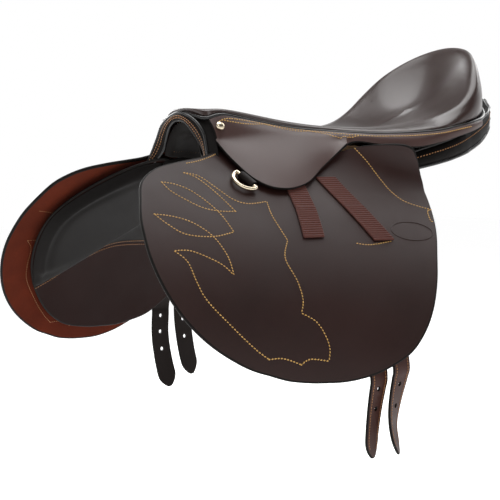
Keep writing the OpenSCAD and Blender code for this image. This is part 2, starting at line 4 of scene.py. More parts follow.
import bmesh
import bpy
import numpy as np
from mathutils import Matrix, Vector


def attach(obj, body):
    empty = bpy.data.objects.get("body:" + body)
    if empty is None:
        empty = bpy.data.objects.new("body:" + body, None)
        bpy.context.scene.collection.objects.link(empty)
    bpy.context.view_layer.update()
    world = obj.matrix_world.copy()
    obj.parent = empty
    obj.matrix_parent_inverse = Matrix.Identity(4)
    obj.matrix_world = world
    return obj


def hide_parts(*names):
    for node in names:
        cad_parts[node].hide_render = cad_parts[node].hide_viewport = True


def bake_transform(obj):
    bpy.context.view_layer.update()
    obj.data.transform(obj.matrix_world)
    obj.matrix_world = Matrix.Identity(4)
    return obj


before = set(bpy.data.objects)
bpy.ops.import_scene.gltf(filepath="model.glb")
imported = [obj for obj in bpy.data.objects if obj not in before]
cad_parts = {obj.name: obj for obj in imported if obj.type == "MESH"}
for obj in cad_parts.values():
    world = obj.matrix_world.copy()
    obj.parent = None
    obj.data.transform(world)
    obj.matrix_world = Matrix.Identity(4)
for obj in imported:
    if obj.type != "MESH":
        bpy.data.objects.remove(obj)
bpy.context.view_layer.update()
MM = 0.001
SIDES = {"left": 1, "right": -1}

# ---------------- camera
CAMERA_AT = (1.1665, 1.4150, 0.0312)
CAMERA_AIM = (0.078, -0.048, -0.072)
cam_data = bpy.data.cameras.new("camera")
cam_data.lens = 105.2
cam_data.sensor_width = 36
camera = bpy.data.objects.new("camera", cam_data)
camera.location = CAMERA_AT
camera.rotation_euler = (Vector(CAMERA_AIM) - Vector(CAMERA_AT)).to_track_quat("-Z", "Y").to_euler()
bpy.context.scene.collection.objects.link(camera)
bpy.context.scene.camera = camera


# ---------------- materials
class Nodes:
    """A material's node tree, with short calls for what the materials here need."""

    def __init__(self, name, rough=0.5, metallic=0.0):
        self.mat = bpy.data.materials.new(name)
        self.mat.use_nodes = True
        self.tree = self.mat.node_tree
        self.bsdf = self.tree.nodes["Principled BSDF"]
        self.bsdf.inputs["Roughness"].default_value = rough
        self.bsdf.inputs["Metallic"].default_value = metallic
        self.coords = self.new("ShaderNodeTexCoord").outputs["Object"]

    def new(self, kind, **settings):
        node = self.tree.nodes.new(kind)
        for key, value in settings.items():
            setattr(node, key, value)
        return node

    def link(self, a, b):
        self.tree.links.new(a, b)

    def noise(self, scale, detail=4.0, rough=0.55, where=None):
        node = self.new("ShaderNodeTexNoise")
        node.inputs["Scale"].default_value = scale
        node.inputs["Detail"].default_value = detail
        node.inputs["Roughness"].default_value = rough
        self.link(where or self.coords, node.inputs["Vector"])
        return node.outputs["Fac"]

    def cells(self, scale, feature="DISTANCE_TO_EDGE"):
        node = self.new("ShaderNodeTexVoronoi", feature=feature)
        node.inputs["Scale"].default_value = scale
        self.link(self.coords, node.inputs["Vector"])
        return node.outputs["Distance"]

    def ramp(self, value, stops):
        node = self.new("ShaderNodeValToRGB")
        spots = node.color_ramp.elements
        while len(spots) < len(stops):
            spots.new(0.5)
        for spot, (at, colour) in zip(spots, stops):
            spot.position = at
            spot.color = (*colour, 1) if len(colour) == 3 else colour
        self.link(value, node.inputs["Fac"])
        return node.outputs["Color"]

    def spread(self, value, low, high):
        node = self.new("ShaderNodeMapRange")
        node.inputs["To Min"].default_value = low
        node.inputs["To Max"].default_value = high
        self.link(value, node.inputs["Value"])
        return node.outputs["Result"]

    def add(self, a, b, weight=1.0):
        node = self.new("ShaderNodeMath", operation="MULTIPLY_ADD")
        self.link(b, node.inputs[0])
        node.inputs[1].default_value = weight
        self.link(a, node.inputs[2])
        return node.outputs[0]

    def bump(self, height, strength, distance):
        node = self.new("ShaderNodeBump")
        node.inputs["Strength"].default_value = strength
        node.inputs["Distance"].default_value = distance
        self.link(height, node.inputs["Height"])
        self.link(node.outputs["Normal"], self.bsdf.inputs["Normal"])

    def colour(self, socket):
        self.link(socket, self.bsdf.inputs["Base Color"])

    def set(self, **values):
        for key, value in values.items():
            self.bsdf.inputs[key.replace("_", " ")].default_value = value


def shade(colour, gain):
    """The colour made darker or lighter."""
    return tuple(min(1.0, c * gain) for c in colour)


def leather(name, colour, rough=0.38, grain=900, depth=0.00012, coat=0.0, coat_rough=0.3, mottle=0.25,
            shine=0.35):
    """Vegetable-tanned leather: fine pores, slow colour drift and rubbed lighter patches."""
    n = Nodes(name)
    slow = n.noise(7, 3)
    fine = n.noise(160, 5, 0.65)
    mixed = n.add(slow, fine, 0.35)
    dark, light = shade(colour, 1 - mottle), shade(colour, 1 + mottle)
    n.colour(n.ramp(mixed, [(0.35, dark), (0.62, colour), (0.95, light)]))
    n.link(n.spread(n.add(n.noise(22, 3), fine, 0.4), rough - 0.07, rough + 0.11), n.bsdf.inputs["Roughness"])
    pores = n.cells(grain)
    n.bump(n.add(n.ramp(pores, [(0.0, (0, 0, 0)), (0.25, (1, 1, 1))]), fine, 0.8), 0.35, depth)
    n.set(Coat_Weight=coat, Coat_Roughness=coat_rough, Specular_IOR_Level=shine)
    return n.mat


def suede(name, colour):
    """Flesh side of the leather: a short nap with brushed lighter and darker patches."""
    n = Nodes(name, rough=0.92)
    nap = n.noise(420, 6, 0.7)
    drift = n.noise(18, 4)
    stops = [(0.35, shade(colour, 0.62)), (0.75, colour), (1.0, shade(colour, 1.35))]
    n.colour(n.ramp(n.add(drift, nap, 0.5), stops))
    n.bump(n.add(nap, n.noise(1500, 3), 0.6), 0.6, 0.0003)
    n.set(Sheen_Weight=0.03, Sheen_Roughness=0.5, Specular_IOR_Level=0.08)
    return n.mat


def speckled(name, colour, tone, stops, bump, rough=0.55, metallic=0.0, wear=None, **settings):
    """One colour broken up by noise. tone is (scale, detail), stops are (place, gain) along it, and bump is
    (scale, detail, strength, depth). wear is (scale, low, high) for a roughness that drifts."""
    n = Nodes(name, rough, metallic)
    n.colour(n.ramp(n.noise(*tone), [(at, shade(colour, gain)) for at, gain in stops]))
    if wear:
        scale, low, high = wear
        n.link(n.spread(n.noise(scale, 5), low, high), n.bsdf.inputs["Roughness"])
    scale, detail, strength, depth = bump
    n.bump(n.noise(scale, detail), strength, depth)
    n.set(**settings)
    return n.mat


def thread(name, colour):
    """Twisted waxed thread."""
    return speckled(name, colour, (900, 3), [(0.3, 0.6), (0.7, 1)], (2600, 2, 0.5, 0.0002), Sheen_Weight=0.2,
                    Sheen_Roughness=0.4)


def steel(name, colour, rough, metallic=1.0):
    """Steel with a worn, uneven polish."""
    return speckled(name, colour, (45, 5), [(0.3, 0.7), (0.75, 1)], (380, 5, 0.2, 0.00015), metallic=metallic,
                    wear=(190, rough - 0.06, rough + 0.16))


def webbing(name, colour):
    """Woven web: two crossed sets of threads."""
    n = Nodes(name, rough=0.85)
    heights = []
    for rotation in ((0, 0, 0), (0, 0, math.pi / 2)):
        place = n.new("ShaderNodeMapping")
        place.inputs["Rotation"].default_value = rotation
        n.link(n.coords, place.inputs["Vector"])
        wave = n.new("ShaderNodeTexWave")
        wave.inputs["Scale"].default_value = 70
        wave.inputs["Distortion"].default_value = 1.2
        n.link(place.outputs["Vector"], wave.inputs["Vector"])
        heights.append(wave.outputs["Fac"])
    weave = n.add(heights[0], heights[1])
    n.colour(n.ramp(n.add(n.noise(500, 4), weave, 0.25), [(0.35, shade(colour, 0.6)), (0.9, colour)]))
    n.bump(weave, 0.5, 0.0004)
    n.set(Sheen_Weight=0.2)
    return n.mat


def wood(name):
    """Laminated beech: thin plies and a fine straight grain."""
    n = Nodes(name, rough=0.5)
    place = n.new("ShaderNodeMapping")
    place.inputs["Scale"].default_value = (6, 60, 400)
    n.link(n.coords, place.inputs["Vector"])
    grain = n.noise(3, 6, 0.6, place.outputs["Vector"])
    stops = [(0.3, (0.30, 0.17, 0.08)), (0.6, (0.55, 0.36, 0.19)), (0.85, (0.66, 0.47, 0.28))]
    n.colour(n.ramp(grain, stops))
    n.bump(grain, 0.3, 0.0004)
    n.set(Coat_Weight=0.3, Coat_Roughness=0.2)
    return n.mat


M = {
    "seat": leather("seat_leather", (0.030, 0.0155, 0.0130), rough=0.26, grain=1100, coat=0.42,
                    coat_rough=0.2, shine=0.45),
    "flap": leather("flap_leather", (0.0205, 0.0070, 0.0055), rough=0.42, grain=1000, shine=0.30),
    "skirt": leather("skirt_leather", (0.046, 0.0205, 0.0170), rough=0.40, grain=1000, coat=0.15,
                     coat_rough=0.36, shine=0.4),
    "sweat": leather("sweat_leather", (0.0125, 0.0042, 0.0033), rough=0.55, grain=800, shine=0.07),
    "black": leather("black_leather", (0.0050, 0.0040, 0.0036), rough=0.45, grain=520, depth=0.0002,
                     mottle=0.35, shine=0.09),
    "piping": leather("piping_leather", (0.004, 0.0034, 0.0034), rough=0.28, grain=700, coat=0.4,
                      coat_rough=0.15, shine=0.3),
    "strap": leather("strap_leather", (0.042, 0.0120, 0.0075), rough=0.46, coat=0.05, shine=0.2),
    "strap_dark": leather("dark_strap_leather", (0.0085, 0.0052, 0.0044), rough=0.5, shine=0.12),
    "suede": suede("flesh_side", (0.082, 0.0128, 0.0042)),
    "edge": speckled("edge_paint", (0.011, 0.009, 0.008), (60, 3), [(0.3, 0.45), (0.8, 1)],
                     (300, 4, 0.25, 0.0002), Specular_IOR_Level=0.1),
    "thread": thread("tan_thread", (0.70, 0.40, 0.095)),
    "thread_dark": thread("brown_thread", (0.37, 0.155, 0.042)),
    "brass": speckled("pale_brass", (0.86, 0.74, 0.55), (30, 4), [(0.3, 0.82), (0.8, 1)],
                      (500, 4, 0.12, 0.0001), metallic=1.0, wear=(260, 0.14, 0.30)),
    "nylon": speckled("ribbed_nylon", (0.100, 0.030, 0.022), (700, 5), [(0.3, 0.6), (0.6, 1), (0.9, 1.3)],
                      (1800, 4, 0.5, 0.0002), Sheen_Weight=0.1, Sheen_Roughness=0.4, Specular_IOR_Level=0.2),
    "linen": webbing("linen_web", (0.50, 0.42, 0.28)),
    # painted shade: the girth webs are coloured dark brown so that, seen over the flap's top edge, they read
    # as the shadowed gap under the skirt
    "girth_web": webbing("web_painted_dark_for_shade", (0.045, 0.028, 0.020)),
    "wood": wood("laminated_beech"),
    "steel": steel("bar_steel", (0.55, 0.55, 0.56), 0.28),
    "japanned": steel("japanned_steel", (0.03, 0.03, 0.032), 0.35, metallic=0.2),
}


# ---------------- curves and meshes
def unit(v):
    v = np.asarray(v, float)
    return v / np.maximum(np.linalg.norm(v, axis=-1, keepdims=True), 1e-9)


def curve(points, n=8, closed=False):
    """Catmull-Rom curve through the points, with n steps between neighbours."""
    p = np.array(points, float)
    m = len(p)
    ids = np.arange(m if closed else m - 1)
    if closed:
        a, b, c, d = (p[(ids + k) % m] for k in (-1, 0, 1, 2))
    else:
        a, b, c, d = (p[np.clip(ids + k, 0, m - 1)] for k in (-1, 0, 1, 2))
    t = (np.arange(n) / n).reshape(-1, 1)
    spans = [0.5 * (2 * b[i] + (c[i] - a[i]) * t + (2 * a[i] - 5 * b[i] + 4 * c[i] - d[i]) * t ** 2
                    + (3 * b[i] - a[i] - 3 * c[i] + d[i]) * t ** 3) for i in ids]
    out = np.concatenate(spans)
    return out if closed else np.vstack([out, p[-1]])


def even(path, step, closed=False):
    """The path's points moved so that they lie about step apart."""
    p = np.vstack([path, path[:1]]) if closed else np.asarray(path)
    s = np.concatenate([[0], np.cumsum(np.linalg.norm(np.diff(p, axis=0), axis=1))])
    n = max(2, int(round(s[-1] / step)) + 1)
    at = np.linspace(0, s[-1], n)
    out = np.stack([np.interp(at, s, p[:, k]) for k in range(p.shape[1])], 1)
    return out[:-1] if closed else out


def grid_normals(g, wrap=False):
    """Unit normals of a grid of points, rows by columns."""
    if wrap:
        e = np.concatenate([g[-1:], g, g[:1]])
        du = (e[2:] - e[:-2])
    else:
        du = np.gradient(g, axis=0)
    return unit(np.cross(du, np.gradient(g, axis=1)))


def mesh(name, verts, faces, mats, index=None, side=1, sharp=55):
    """A mesh object from millimetre points. side -1 gives the mirror image."""
    v = np.asarray(verts, float) * MM
    if side < 0:
        v = v * np.array([1, -1, 1])
        faces = [f[::-1] for f in faces]
    me = bpy.data.meshes.new(name)
    me.from_pydata(v.tolist(), [], [tuple(int(i) for i in f) for f in faces])
    for m in mats:
        me.materials.append(m)
    if index is not None:
        me.polygons.foreach_set("material_index", np.asarray(index, np.int32))
    me.polygons.foreach_set("use_smooth", np.ones(len(me.polygons), bool))
    me.update()
    me.set_sharp_from_angle(angle=math.radians(sharp))
    ob = bpy.data.objects.new(name, me)
    bpy.context.scene.collection.objects.link(ob)
    return ob


def ring_faces(rows, cols, closed_rows=False):
    """Quads of a grid whose columns close on themselves."""
    out = []
    for i in range(rows if closed_rows else rows - 1):
        k = (i + 1) % rows
        for j in range(cols):
            q = (j + 1) % cols
            out.append((i * cols + j, i * cols + q, k * cols + q, k * cols + j))
    return out


def tube(name, path, radius, mat, sides=12, closed=False, side=1, up=(0, 0, 1)):
    """A round cord of leather along a path. radius may be a number or one per point."""
    p = np.asarray(path, float)
    n = len(p)
    if closed:
        t = unit(np.roll(p, -1, 0) - np.roll(p, 1, 0))
    else:
        t = unit(np.gradient(p, axis=0))
    u = unit(np.cross(t, np.asarray(up, float)))
    w = np.cross(t, u)
    r = np.broadcast_to(np.asarray(radius, float), (n,)).reshape(-1, 1, 1)
    a = np.linspace(0, 2 * np.pi, sides, endpoint=False)
    ring = p[:, None] + r * (np.cos(a)[None, :, None] * u[:, None] + np.sin(a)[None, :, None] * w[:, None])
    verts = ring.reshape(-1, 3)
    faces = ring_faces(n, sides, closed)
    if not closed:
        faces += [tuple(range(sides))[::-1], tuple((n - 1) * sides + j for j in range(sides))]
    return mesh(name, verts, [f[::-1] for f in faces], [mat], side=side, sharp=80)


EDGE = [(2.0, 0.5), (0.9, 0.46), (0.25, 0.3), (0.0, 0.0)]


def leaf(name, outline, centre, lift, thick, mats, side=1, rings=16):
    """A leather sheet with rounded edges. outline is a closed (x, z) curve round centre, and lift(x, z, t) is
    a point t off the middle surface. mats are the outer face, the edge and the inner face."""
    b = np.asarray(outline, float)
    c = np.asarray(centre, float)
    reach = np.linalg.norm(b - c, axis=1, keepdims=True)
    shares = [r for r in np.linspace(0.03, 1, rings) ** 0.8 if r < 0.985]
    # each level is (share of the way to the outline, or distance in from it, share of the thickness)
    levels = [(r, None, 0.5) for r in shares] + [(None, d, t) for d, t in EDGE]
    levels += [(None, d, -t) for d, t in EDGE[::-1][1:]] + [(r, None, -0.5) for r in shares[::-1]]
    n = len(b)
    rows = []
    for r, d, t in levels:
        at = c + (b - c) * (r if d is None else 1 - d / reach)
        rows.append(lift(at[:, 0], at[:, 1], t * thick))
    middle = [lift(c[:1], c[1:], thick / 2), lift(c[:1], c[1:], -thick / 2)]
    verts = np.concatenate(rows + middle)
    faces = ring_faces(len(levels), n)
    kind = []
    for i in range(len(levels) - 1):
        k = 0 if i < len(shares) else (2 if i >= len(shares) + 2 * len(EDGE) - 2 else 1)
        kind += [k] * n
    top, low = len(verts) - 2, len(verts) - 1
    base = (len(levels) - 1) * n
    faces += [(top, (j + 1) % n, j) for j in range(n)]
    faces += [(low, base + j, base + (j + 1) % n) for j in range(n)]
    kind += [0] * n + [2] * n
    return mesh(name, verts, faces, mats, kind, side)


def outward(ob, weld=False):
    """Turns every face to look out of the closed mesh. weld first joins the points that lie together."""
    bm = bmesh.new()
    bm.from_mesh(ob.data)
    if weld:
        bmesh.ops.remove_doubles(bm, verts=bm.verts, dist=1e-6)
    bmesh.ops.recalc_face_normals(bm, faces=bm.faces)
    bm.to_mesh(ob.data)
    bm.free()
    ob.data.update()
    return ob


# One stitch: a short fat lens of thread, 6 sides.
STITCH_U = [-0.5, -0.3, 0.0, 0.3, 0.5]
STITCH_R = [0.25, 0.85, 1.0, 0.85, 0.25]


def stitches(name, runs, mat, side=1, pitch=3.5, long=2.5, wide=1.4, high=0.9, tilt=10):
    """Runs of stitches in one mesh. A run is (points, normals); each lies half sunk in the leather."""
    verts, faces = [], []
    for points, normals in runs:
        pts = np.asarray(points, float)
        s = np.concatenate([[0], np.cumsum(np.linalg.norm(np.diff(pts, axis=0), axis=1))])
        if s[-1] < pitch:
            continue
        at = np.arange(pitch / 2, s[-1], pitch)
        where = np.stack([np.interp(at, s, pts[:, k]) for k in range(3)], 1)
        nn = unit(np.stack([np.interp(at, s, np.asarray(normals)[:, k]) for k in range(3)], 1))
        ahead = np.stack([np.interp(at + 0.6, s, pts[:, k]) for k in range(3)], 1)
        behind = np.stack([np.interp(at - 0.6, s, pts[:, k]) for k in range(3)], 1)
        along = unit(ahead - behind)
        across = unit(np.cross(nn, along))
        turn = math.radians(tilt)
        a = along * math.cos(turn) + across * math.sin(turn)
        c = across * math.cos(turn) - along * math.sin(turn)
        for o, n3, u3, w3 in zip(where, nn, a, c):
            base = len(verts)
            for u, r in zip(STITCH_U, STITCH_R):
                for k in range(6):
                    ang = math.pi * k / 3
                    verts.append(o + u3 * u * long + w3 * (r * wide / 2 * math.cos(ang))
                                 + n3 * (r * high / 2 * math.sin(ang) + 0.18 * high * (1 - 2 * abs(u))))
            for i in range(4):
                for k in range(6):
                    q = (k + 1) % 6
                    low = base + i * 6
                    faces.append((low + k, low + q, low + 6 + q, low + 6 + k))
            faces.append(tuple(base + k for k in range(6))[::-1])
            faces.append(tuple(base + 24 + k for k in range(6)))
    return mesh(name, verts, faces, [mat], side=side, sharp=80)


# ---------------- bodies and replaced nodes
def label(stands_for):
    """Hides the CAD nodes that a piece replaces, if any."""
    if stands_for:
        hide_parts(*stands_for)


def fasten(ob, slot, *stands_for, body="saddle"):
    """Fixes a piece to one body."""
    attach(ob, body)
    label(stands_for)


# ---------------- the drape surface, as in the CAD
HINGE_Z = -12
FLAP_T, SKIRT_T, SWEAT_T, STRAP_T = 4.0, 3.0, 3.0, 3.0
SWEAT_OUT = -9
STRAP_OUT = -3.8


def bulge(x, z):
    up = np.maximum(0, z)
    return np.clip((150 - x) / 190, 0, 1) ** 1.2 * (0.25 * up + 0.02 * up ** 2)


def drape_y(x, z):
    d = 80 - z
    return 13.8 + 1.775 * d - 0.00256 * d * d - 0.0213 * x - 0.000914 * x * d + bulge(x, z)


def drape_normal(x, z):
    e = 0.5
    fx = drape_y(x + e, z) - drape_y(x - e, z)
    fz = drape_y(x, z + e) - drape_y(x, z - e)
    return unit(np.stack([-fx, np.ones_like(fx), -fz], -1))


def on_drape(x, z, t):
    x, z = np.asarray(x, float), np.asarray(z, float)
    return np.stack([x, drape_y(x, z), z], -1) + np.asarray(t)[..., None] * drape_normal(x, z)


def drape_run(points, t, n=8, closed=False):
    """A stitch run on the drape surface through (x, z) points."""
    p = even(curve(points, n, closed), 1.5)
    return on_drape(p[:, 0], p[:, 1], np.full(len(p), t)), drape_normal(p[:, 0], p[:, 1])


def flap_blend(piece, side, name, slot, *stands_for):
    """Bakes a piece's placement into its mesh and hides the CAD nodes that it replaces."""
    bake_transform(piece)
    label(stands_for)


def grid_faces(rows, cols):
    return [(i * cols + j, i * cols + j + 1, (i + 1) * cols + j + 1, (i + 1) * cols + j)
            for i in range(rows - 1) for j in range(cols - 1)]


def plate(name, mid, thick, mats, side=1, face=(0, 1, 0), outer=None, nose=0.8):
    """A leather sheet about a grid of mid-surface points, with bull-nosed edges all round. Its outer face
    looks along face, and outer is added to it along the normals. mats are outer face, edge, inner face."""
    g = np.asarray(mid, float)
    rows, cols = g.shape[:2]
    n = grid_normals(g)
    if (n @ np.asarray(face, float)).mean() < 0:
        n = -n
    h = thick / 2
    top = g + n * (h + (0 if outer is None else outer[..., None]))
    low = g - n * h
    border = ([(0, j) for j in range(cols)] + [(i, cols - 1) for i in range(1, rows)]
              + [(rows - 1, j) for j in range(cols - 2, -1, -1)] + [(i, 0) for i in range(rows - 2, 0, -1)])
    verts = [top.reshape(-1, 3), low.reshape(-1, 3)]
    k = rows * cols
    quads = grid_faces(rows, cols)
    faces = [f[::-1] for f in quads] + [tuple(v + k for v in f) for f in quads]
    kind = [0] * len(quads) + [2] * len(quads)
    b = np.array([g[i, j] for i, j in border])
    bt = np.array([top[i, j] for i, j in border])
    nb = np.array([n[i, j] for i, j in border])
    along = unit(np.roll(b, -1, 0) - np.roll(b, 1, 0))
    out = unit(np.cross(along, nb))
    centre = g.reshape(-1, 3).mean(0)
    if ((b - centre) * out).sum() < 0:
        out = -out
    rings = [bt]
    for a in (50, 20, -20, -50):
        c, s = math.cos(math.radians(a)), math.sin(math.radians(a))
        rings.append(b + out * (nose * h * c) + nb * (h * s))
    base = 2 * k
    m = len(border)
    verts += rings[1:]
    rim = [i * cols + j for i, j in border]
    ids = [rim] + [list(range(base + r * m, base + (r + 1) * m)) for r in range(4)] + [[k + v for v in rim]]
    for a, c in zip(ids[:-1], ids[1:]):
        for q in range(m):
            r = (q + 1) % m
            faces.append((a[q], c[q], c[r], a[r]))
            kind.append(1)
    return outward(mesh(name, np.concatenate(verts), faces, mats, kind, side))


def closed_loft(name, rings, mats, side=1, sharp=60):
    """A closed skin over a row of closed rings of points."""
    r = np.asarray(rings, float)
    rows, n = r.shape[:2]
    faces = ring_faces(rows, n) + [tuple(range(n))[::-1], tuple((rows - 1) * n + j for j in range(n))]
    return outward(mesh(name, r.reshape(-1, 3), faces, mats, None, side, sharp))


def both(build):
    """Builds a piece for the left side and then for the right."""
    for name, side in SIDES.items():
        build(name, side)


# ---------------- seat
SEAM = [
    [210, 0, 95], [210, 22, 93], [207, 41, 90], [188, 46, 94], [142, 48, 87], [97, 54, 80], [59, 66, 77],
    [29, 82, 75], [-8, 98, 74], [-40, 110, 75], [-79, 118, 78], [-110, 119, 83], [-140, 116, 89],
    [-169, 105, 96], [-192, 85, 105], [-208, 58, 117], [-218, 30, 126], [-222, 0, 130]]
RIM = [
    [205, 0, 99], [204, 18, 98.5], [198, 32, 98.5], [182, 34, 98.5], [142, 30, 93.5], [97, 34, 86],
    [59, 42, 81], [26, 52, 80], [-8, 62, 80], [-38, 72, 83], [-74, 84, 88], [-104, 96, 96],
    [-134, 107, 111], [-156, 106, 132], [-176, 89, 158], [-196, 65, 178], [-211, 36, 191], [-216, 0, 196]]
SPINE = [
    [168, 0, 98], [166, 0, 98], [163, 0, 98], [158, 0, 97], [138, 0, 95], [97, 0, 88], [59, 0, 82],
    [26, 0, 79], [-4, 0, 77], [-30, 0, 76], [-54, 0, 78], [-76, 0, 82], [-94, 0, 86], [-108, 0, 91],
    [-120, 0, 96], [-130, 0, 101], [-137, 0, 105], [-140, 0, 107]]


def mirrored_curve(points, n):
    """Smooth curve of a half loop whose ends lie on the mid-plane, using its own mirror image past them."""
    p = np.array(points, float)
    m = p * [1, -1, 1]
    full = np.vstack([m[2:0:-1], p, m[-2:-4:-1]])
    c = curve(full, n)
    return c[2 * n:len(c) - 2 * n]


def seat():
    fine = 7
    seam, rim, spine = (mirrored_curve(a, fine) for a in (SEAM, RIM, SPINE))
    spine[:, 1] = 0
    rows = len(seam)

    def at(f):
        if f <= 1:
            p = spine + (rim - spine) * f
            p[:, 2] = spine[:, 2] + (rim[:, 2] - spine[:, 2]) * f * f
            p[:, 1] = rim[:, 1] * f
            return p
        out = unit(np.stack([rim[:, 0] - spine[:, 0], rim[:, 1] * 1.5, np.full(rows, 30.0)], 1))
        return rim + (seam - rim) * (f - 1) + math.sin(math.pi * (f - 1)) * 5 * out

    levels = [0, 0.14, 0.28, 0.42, 0.56, 0.7, 0.84, 0.95, 1.1, 1.3, 1.5, 1.7, 1.88, 2.0]
    stack = np.stack([at(f) for f in levels])
    dense = np.stack([curve(stack[:, i], 4) for i in range(rows)], 1)
    f_at = curve(np.array(levels)[:, None], 4)[:, 0]
    for k in range(12):
        wide = np.concatenate([dense[:, 1:2] * [1, -1, 1], dense, dense[:, -2:-1] * [1, -1, 1]], 1)
        even_rows = (wide[:, :-2] + 2 * dense + wide[:, 2:]) / 4
        even_rows[1:-1] = (even_rows[:-2] + 2 * even_rows[1:-1] + even_rows[2:]) / 4
        share = np.ones(rows) if k < 2 else np.clip((seam[:, 0] + 40) / 60, 0, 1)
        dense[:-3] += (even_rows[:-3] - dense[:-3]) * share[None, :, None]
    # puckers where the leather is drawn over the foam at the seam, behind the waist
    s = np.concatenate([[0], np.cumsum(np.linalg.norm(np.diff(seam, axis=0), axis=1))])
    rng = np.random.default_rng(5)
    wave = np.interp(s, np.arange(0, s[-1] + 9, 4.5), rng.uniform(-1, 1, len(np.arange(0, s[-1] + 9, 4.5))))
    n = unit(np.cross(np.gradient(dense, axis=0), np.gradient(dense, axis=1)))
    if n[-10, rows // 2, 1] < 0:
        n = -n
    grow = np.clip((f_at - 1.45) / 0.4, 0, 1)[:, None] * np.clip((40 - seam[:, 0]) / 60, 0, 1)[None]
    tuck = np.clip((f_at - 1.9) / 0.1, 0, 1)[:, None]
    dense = dense + n * (0.55 * grow * wave[None] - 0.9 * tuck)[..., None]
    under = [at(f) - [0, 0, 9] for f in (1.5, 1.0, 0.7, 0.4, 0.2, 0.0)]
    under = [u * [1, 0.94, 1] for u in under]
    half = np.concatenate([dense, np.stack(under)])
    half[:, 0, 1] = half[:, -1, 1] = 0
    back = half[:, -2:0:-1] * [1, -1, 1]
    loops = np.concatenate([half, back], 1)
    m = loops.shape[1]
    faces = ring_faces(len(loops), m)
    ob = mesh("seat", loops.reshape(-1, 3), faces, [M["seat"]], sharp=70)
    outward(ob, weld=True)
    ob.data.set_sharp_from_angle(angle=math.radians(75))
    fasten(ob, "seat_leather", "seat_cover", "seat_foam")
    return seam


def full_loop(half):
    return np.vstack([half, half[-2:0:-1] * [1, -1, 1]])


seam_line = seat()
shift = np.zeros_like(seam_line)
shift[:, 2] = -3
shift[:, 1] = np.clip(seam_line[:, 1] / 8, 0, 1) * 1.6
shift[:, 0] = np.where(seam_line[:, 0] < -160, -1.6, np.where(seam_line[:, 0] > 205, 1.4, 0))
cord_line = full_loop(seam_line + shift)
piping = tube("seat_piping_cord", even(cord_line, 2.5, True), 2.3, M["piping"], 14, closed=True)
fasten(piping, "piping_leather", "seat_piping")

# ---------------- skirts
STRIP_TOP = [
    [206, 46, 85], [190, 49.5, 89.5], [165, 50.5, 86.5], [142, 51.5, 83], [118, 54.5, 79], [97, 57.5, 76],
    [78, 64.5, 74], [59, 70.5, 73], [44, 79.5, 72], [28, 87, 71], [10, 96, 70], [-8, 102.5, 70],
    [-40, 113.5, 71], [-79, 121.5, 74], [-104, 122.5, 78], [-140, 119.5, 85], [-166, 110, 90]]
STRIP_LOW = [
    [38, 91, 60], [24, 97, 62], [3, 106, 59], [-18, 115, 57], [-46, 124, 56], [-80, 127, 62],
    [-104, 126, 68], [-140, 120.5, 77], [-166, 110.5, 84]]
HINGE = np.array([[204, 58, 64], [45, 88, 62]], float)
LOBE = [
    [206, 61, 21], [203, 45, 16], [197, 29, 13], [190, 18, 12], [179, 10.5, 12], [164, 7.5, 12],
    [145, 8.5, 12], [121, 15, 12], [92, 30, 12], [64, 46, 12], [47, 58, 12]]


def skirt_grid():
    top = np.array(STRIP_TOP, float)
    low_front = np.array([[x, drape_y(x, z) + off, z] for x, z, off in LOBE])
    front_u = np.linspace(0, 1, 56)
    rear_u = np.linspace(0, 1, 50)[1:]
    top_front = curve(top[:9], 8)
    top_rear = curve(top[8:], 8)
    low_f = curve(low_front, 8)
    low_r = curve(np.vstack([low_front[-1:], STRIP_LOW]), 8)

    def sample(c, u):
        s = np.concatenate([[0], np.cumsum(np.linalg.norm(np.diff(c, axis=0), axis=1))])
        return np.stack([np.interp(u * s[-1], s, c[:, k]) for k in range(3)], 1)

    rows = []
    for u in front_u:
        t = sample(top_front, np.array([u]))[0]
        h = HINGE[0] + (HINGE[1] - HINGE[0]) * u
        e = sample(low_f, np.array([u]))[0]
        swell = 3.2 * math.sin(math.pi * u)
        mid = (h + e) / 2 + np.array([0, 0.85, 0.5]) * swell
        rows.append(curve([t, (t + h) / 2 + [0, 1.6, 1.0], h, mid, e], 7))
    for u in rear_u:
        t = sample(top_rear, np.array([u]))[0]
        e = sample(low_r, np.array([u]))[0]
        rows.append(curve([t, t * 0.75 + e * 0.25 + [0, 1.0, 0.6], t * 0.5 + e * 0.5 + [0, 1.5, 0.9],
                           t * 0.25 + e * 0.75 + [0, 1.0, 0.6], e], 7))
    g = np.array(rows)
    for _ in range(16):
        g[:, 1:-1] = (g[:, :-2] + 2 * g[:, 1:-1] + g[:, 2:]) / 4
    return g


SKIRT = skirt_grid()
skirt_line = unit(np.array([204.0, 58, 65]) - np.array([45.0, 88, 60]))
skirt_down = unit(np.cross(skirt_line, [0, 0.86, 0.5]))
if skirt_down[2] > 0:
    skirt_down = -skirt_down


def skirt_blend(piece, side, name, slot, *stands_for):
    """Bakes a piece's placement into its mesh and hides the CAD nodes that it replaces."""
    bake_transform(piece)
    label(stands_for)


SKIRT_LONG = np.linalg.norm(np.diff(SKIRT, axis=1), axis=2).sum(1)


def skirt_run(places, lift=SKIRT_T / 2):
    """A stitch run on the skirt: places are (row, millimetres down from the top edge)."""
    n = grid_normals(SKIRT)
    if n[30, 15, 1] < 0:
        n = -n
    p = curve(np.array(places, float), 10)
    pts, nor = [], []
    for r, down in p:
        i = min(max(r, 0), len(SKIRT) - 1.001)
        j = min(max(down / SKIRT_LONG[int(i)], 0), 0.999) * (SKIRT.shape[1] - 1)
        i0, j0 = int(i), int(j)
        a, b = i - i0, j - j0
        w = [((1 - a) * (1 - b), i0, j0), (a * (1 - b), i0 + 1, j0), ((1 - a) * b, i0, j0 + 1),
             (a * b, i0 + 1, j0 + 1)]
        q = sum(c * SKIRT[x, y] for c, x, y in w)
        m = unit(sum(c * n[x, y] for c, x, y in w))
        pts.append(q + m * lift)
        nor.append(m)
    return np.array(pts), np.array(nor)


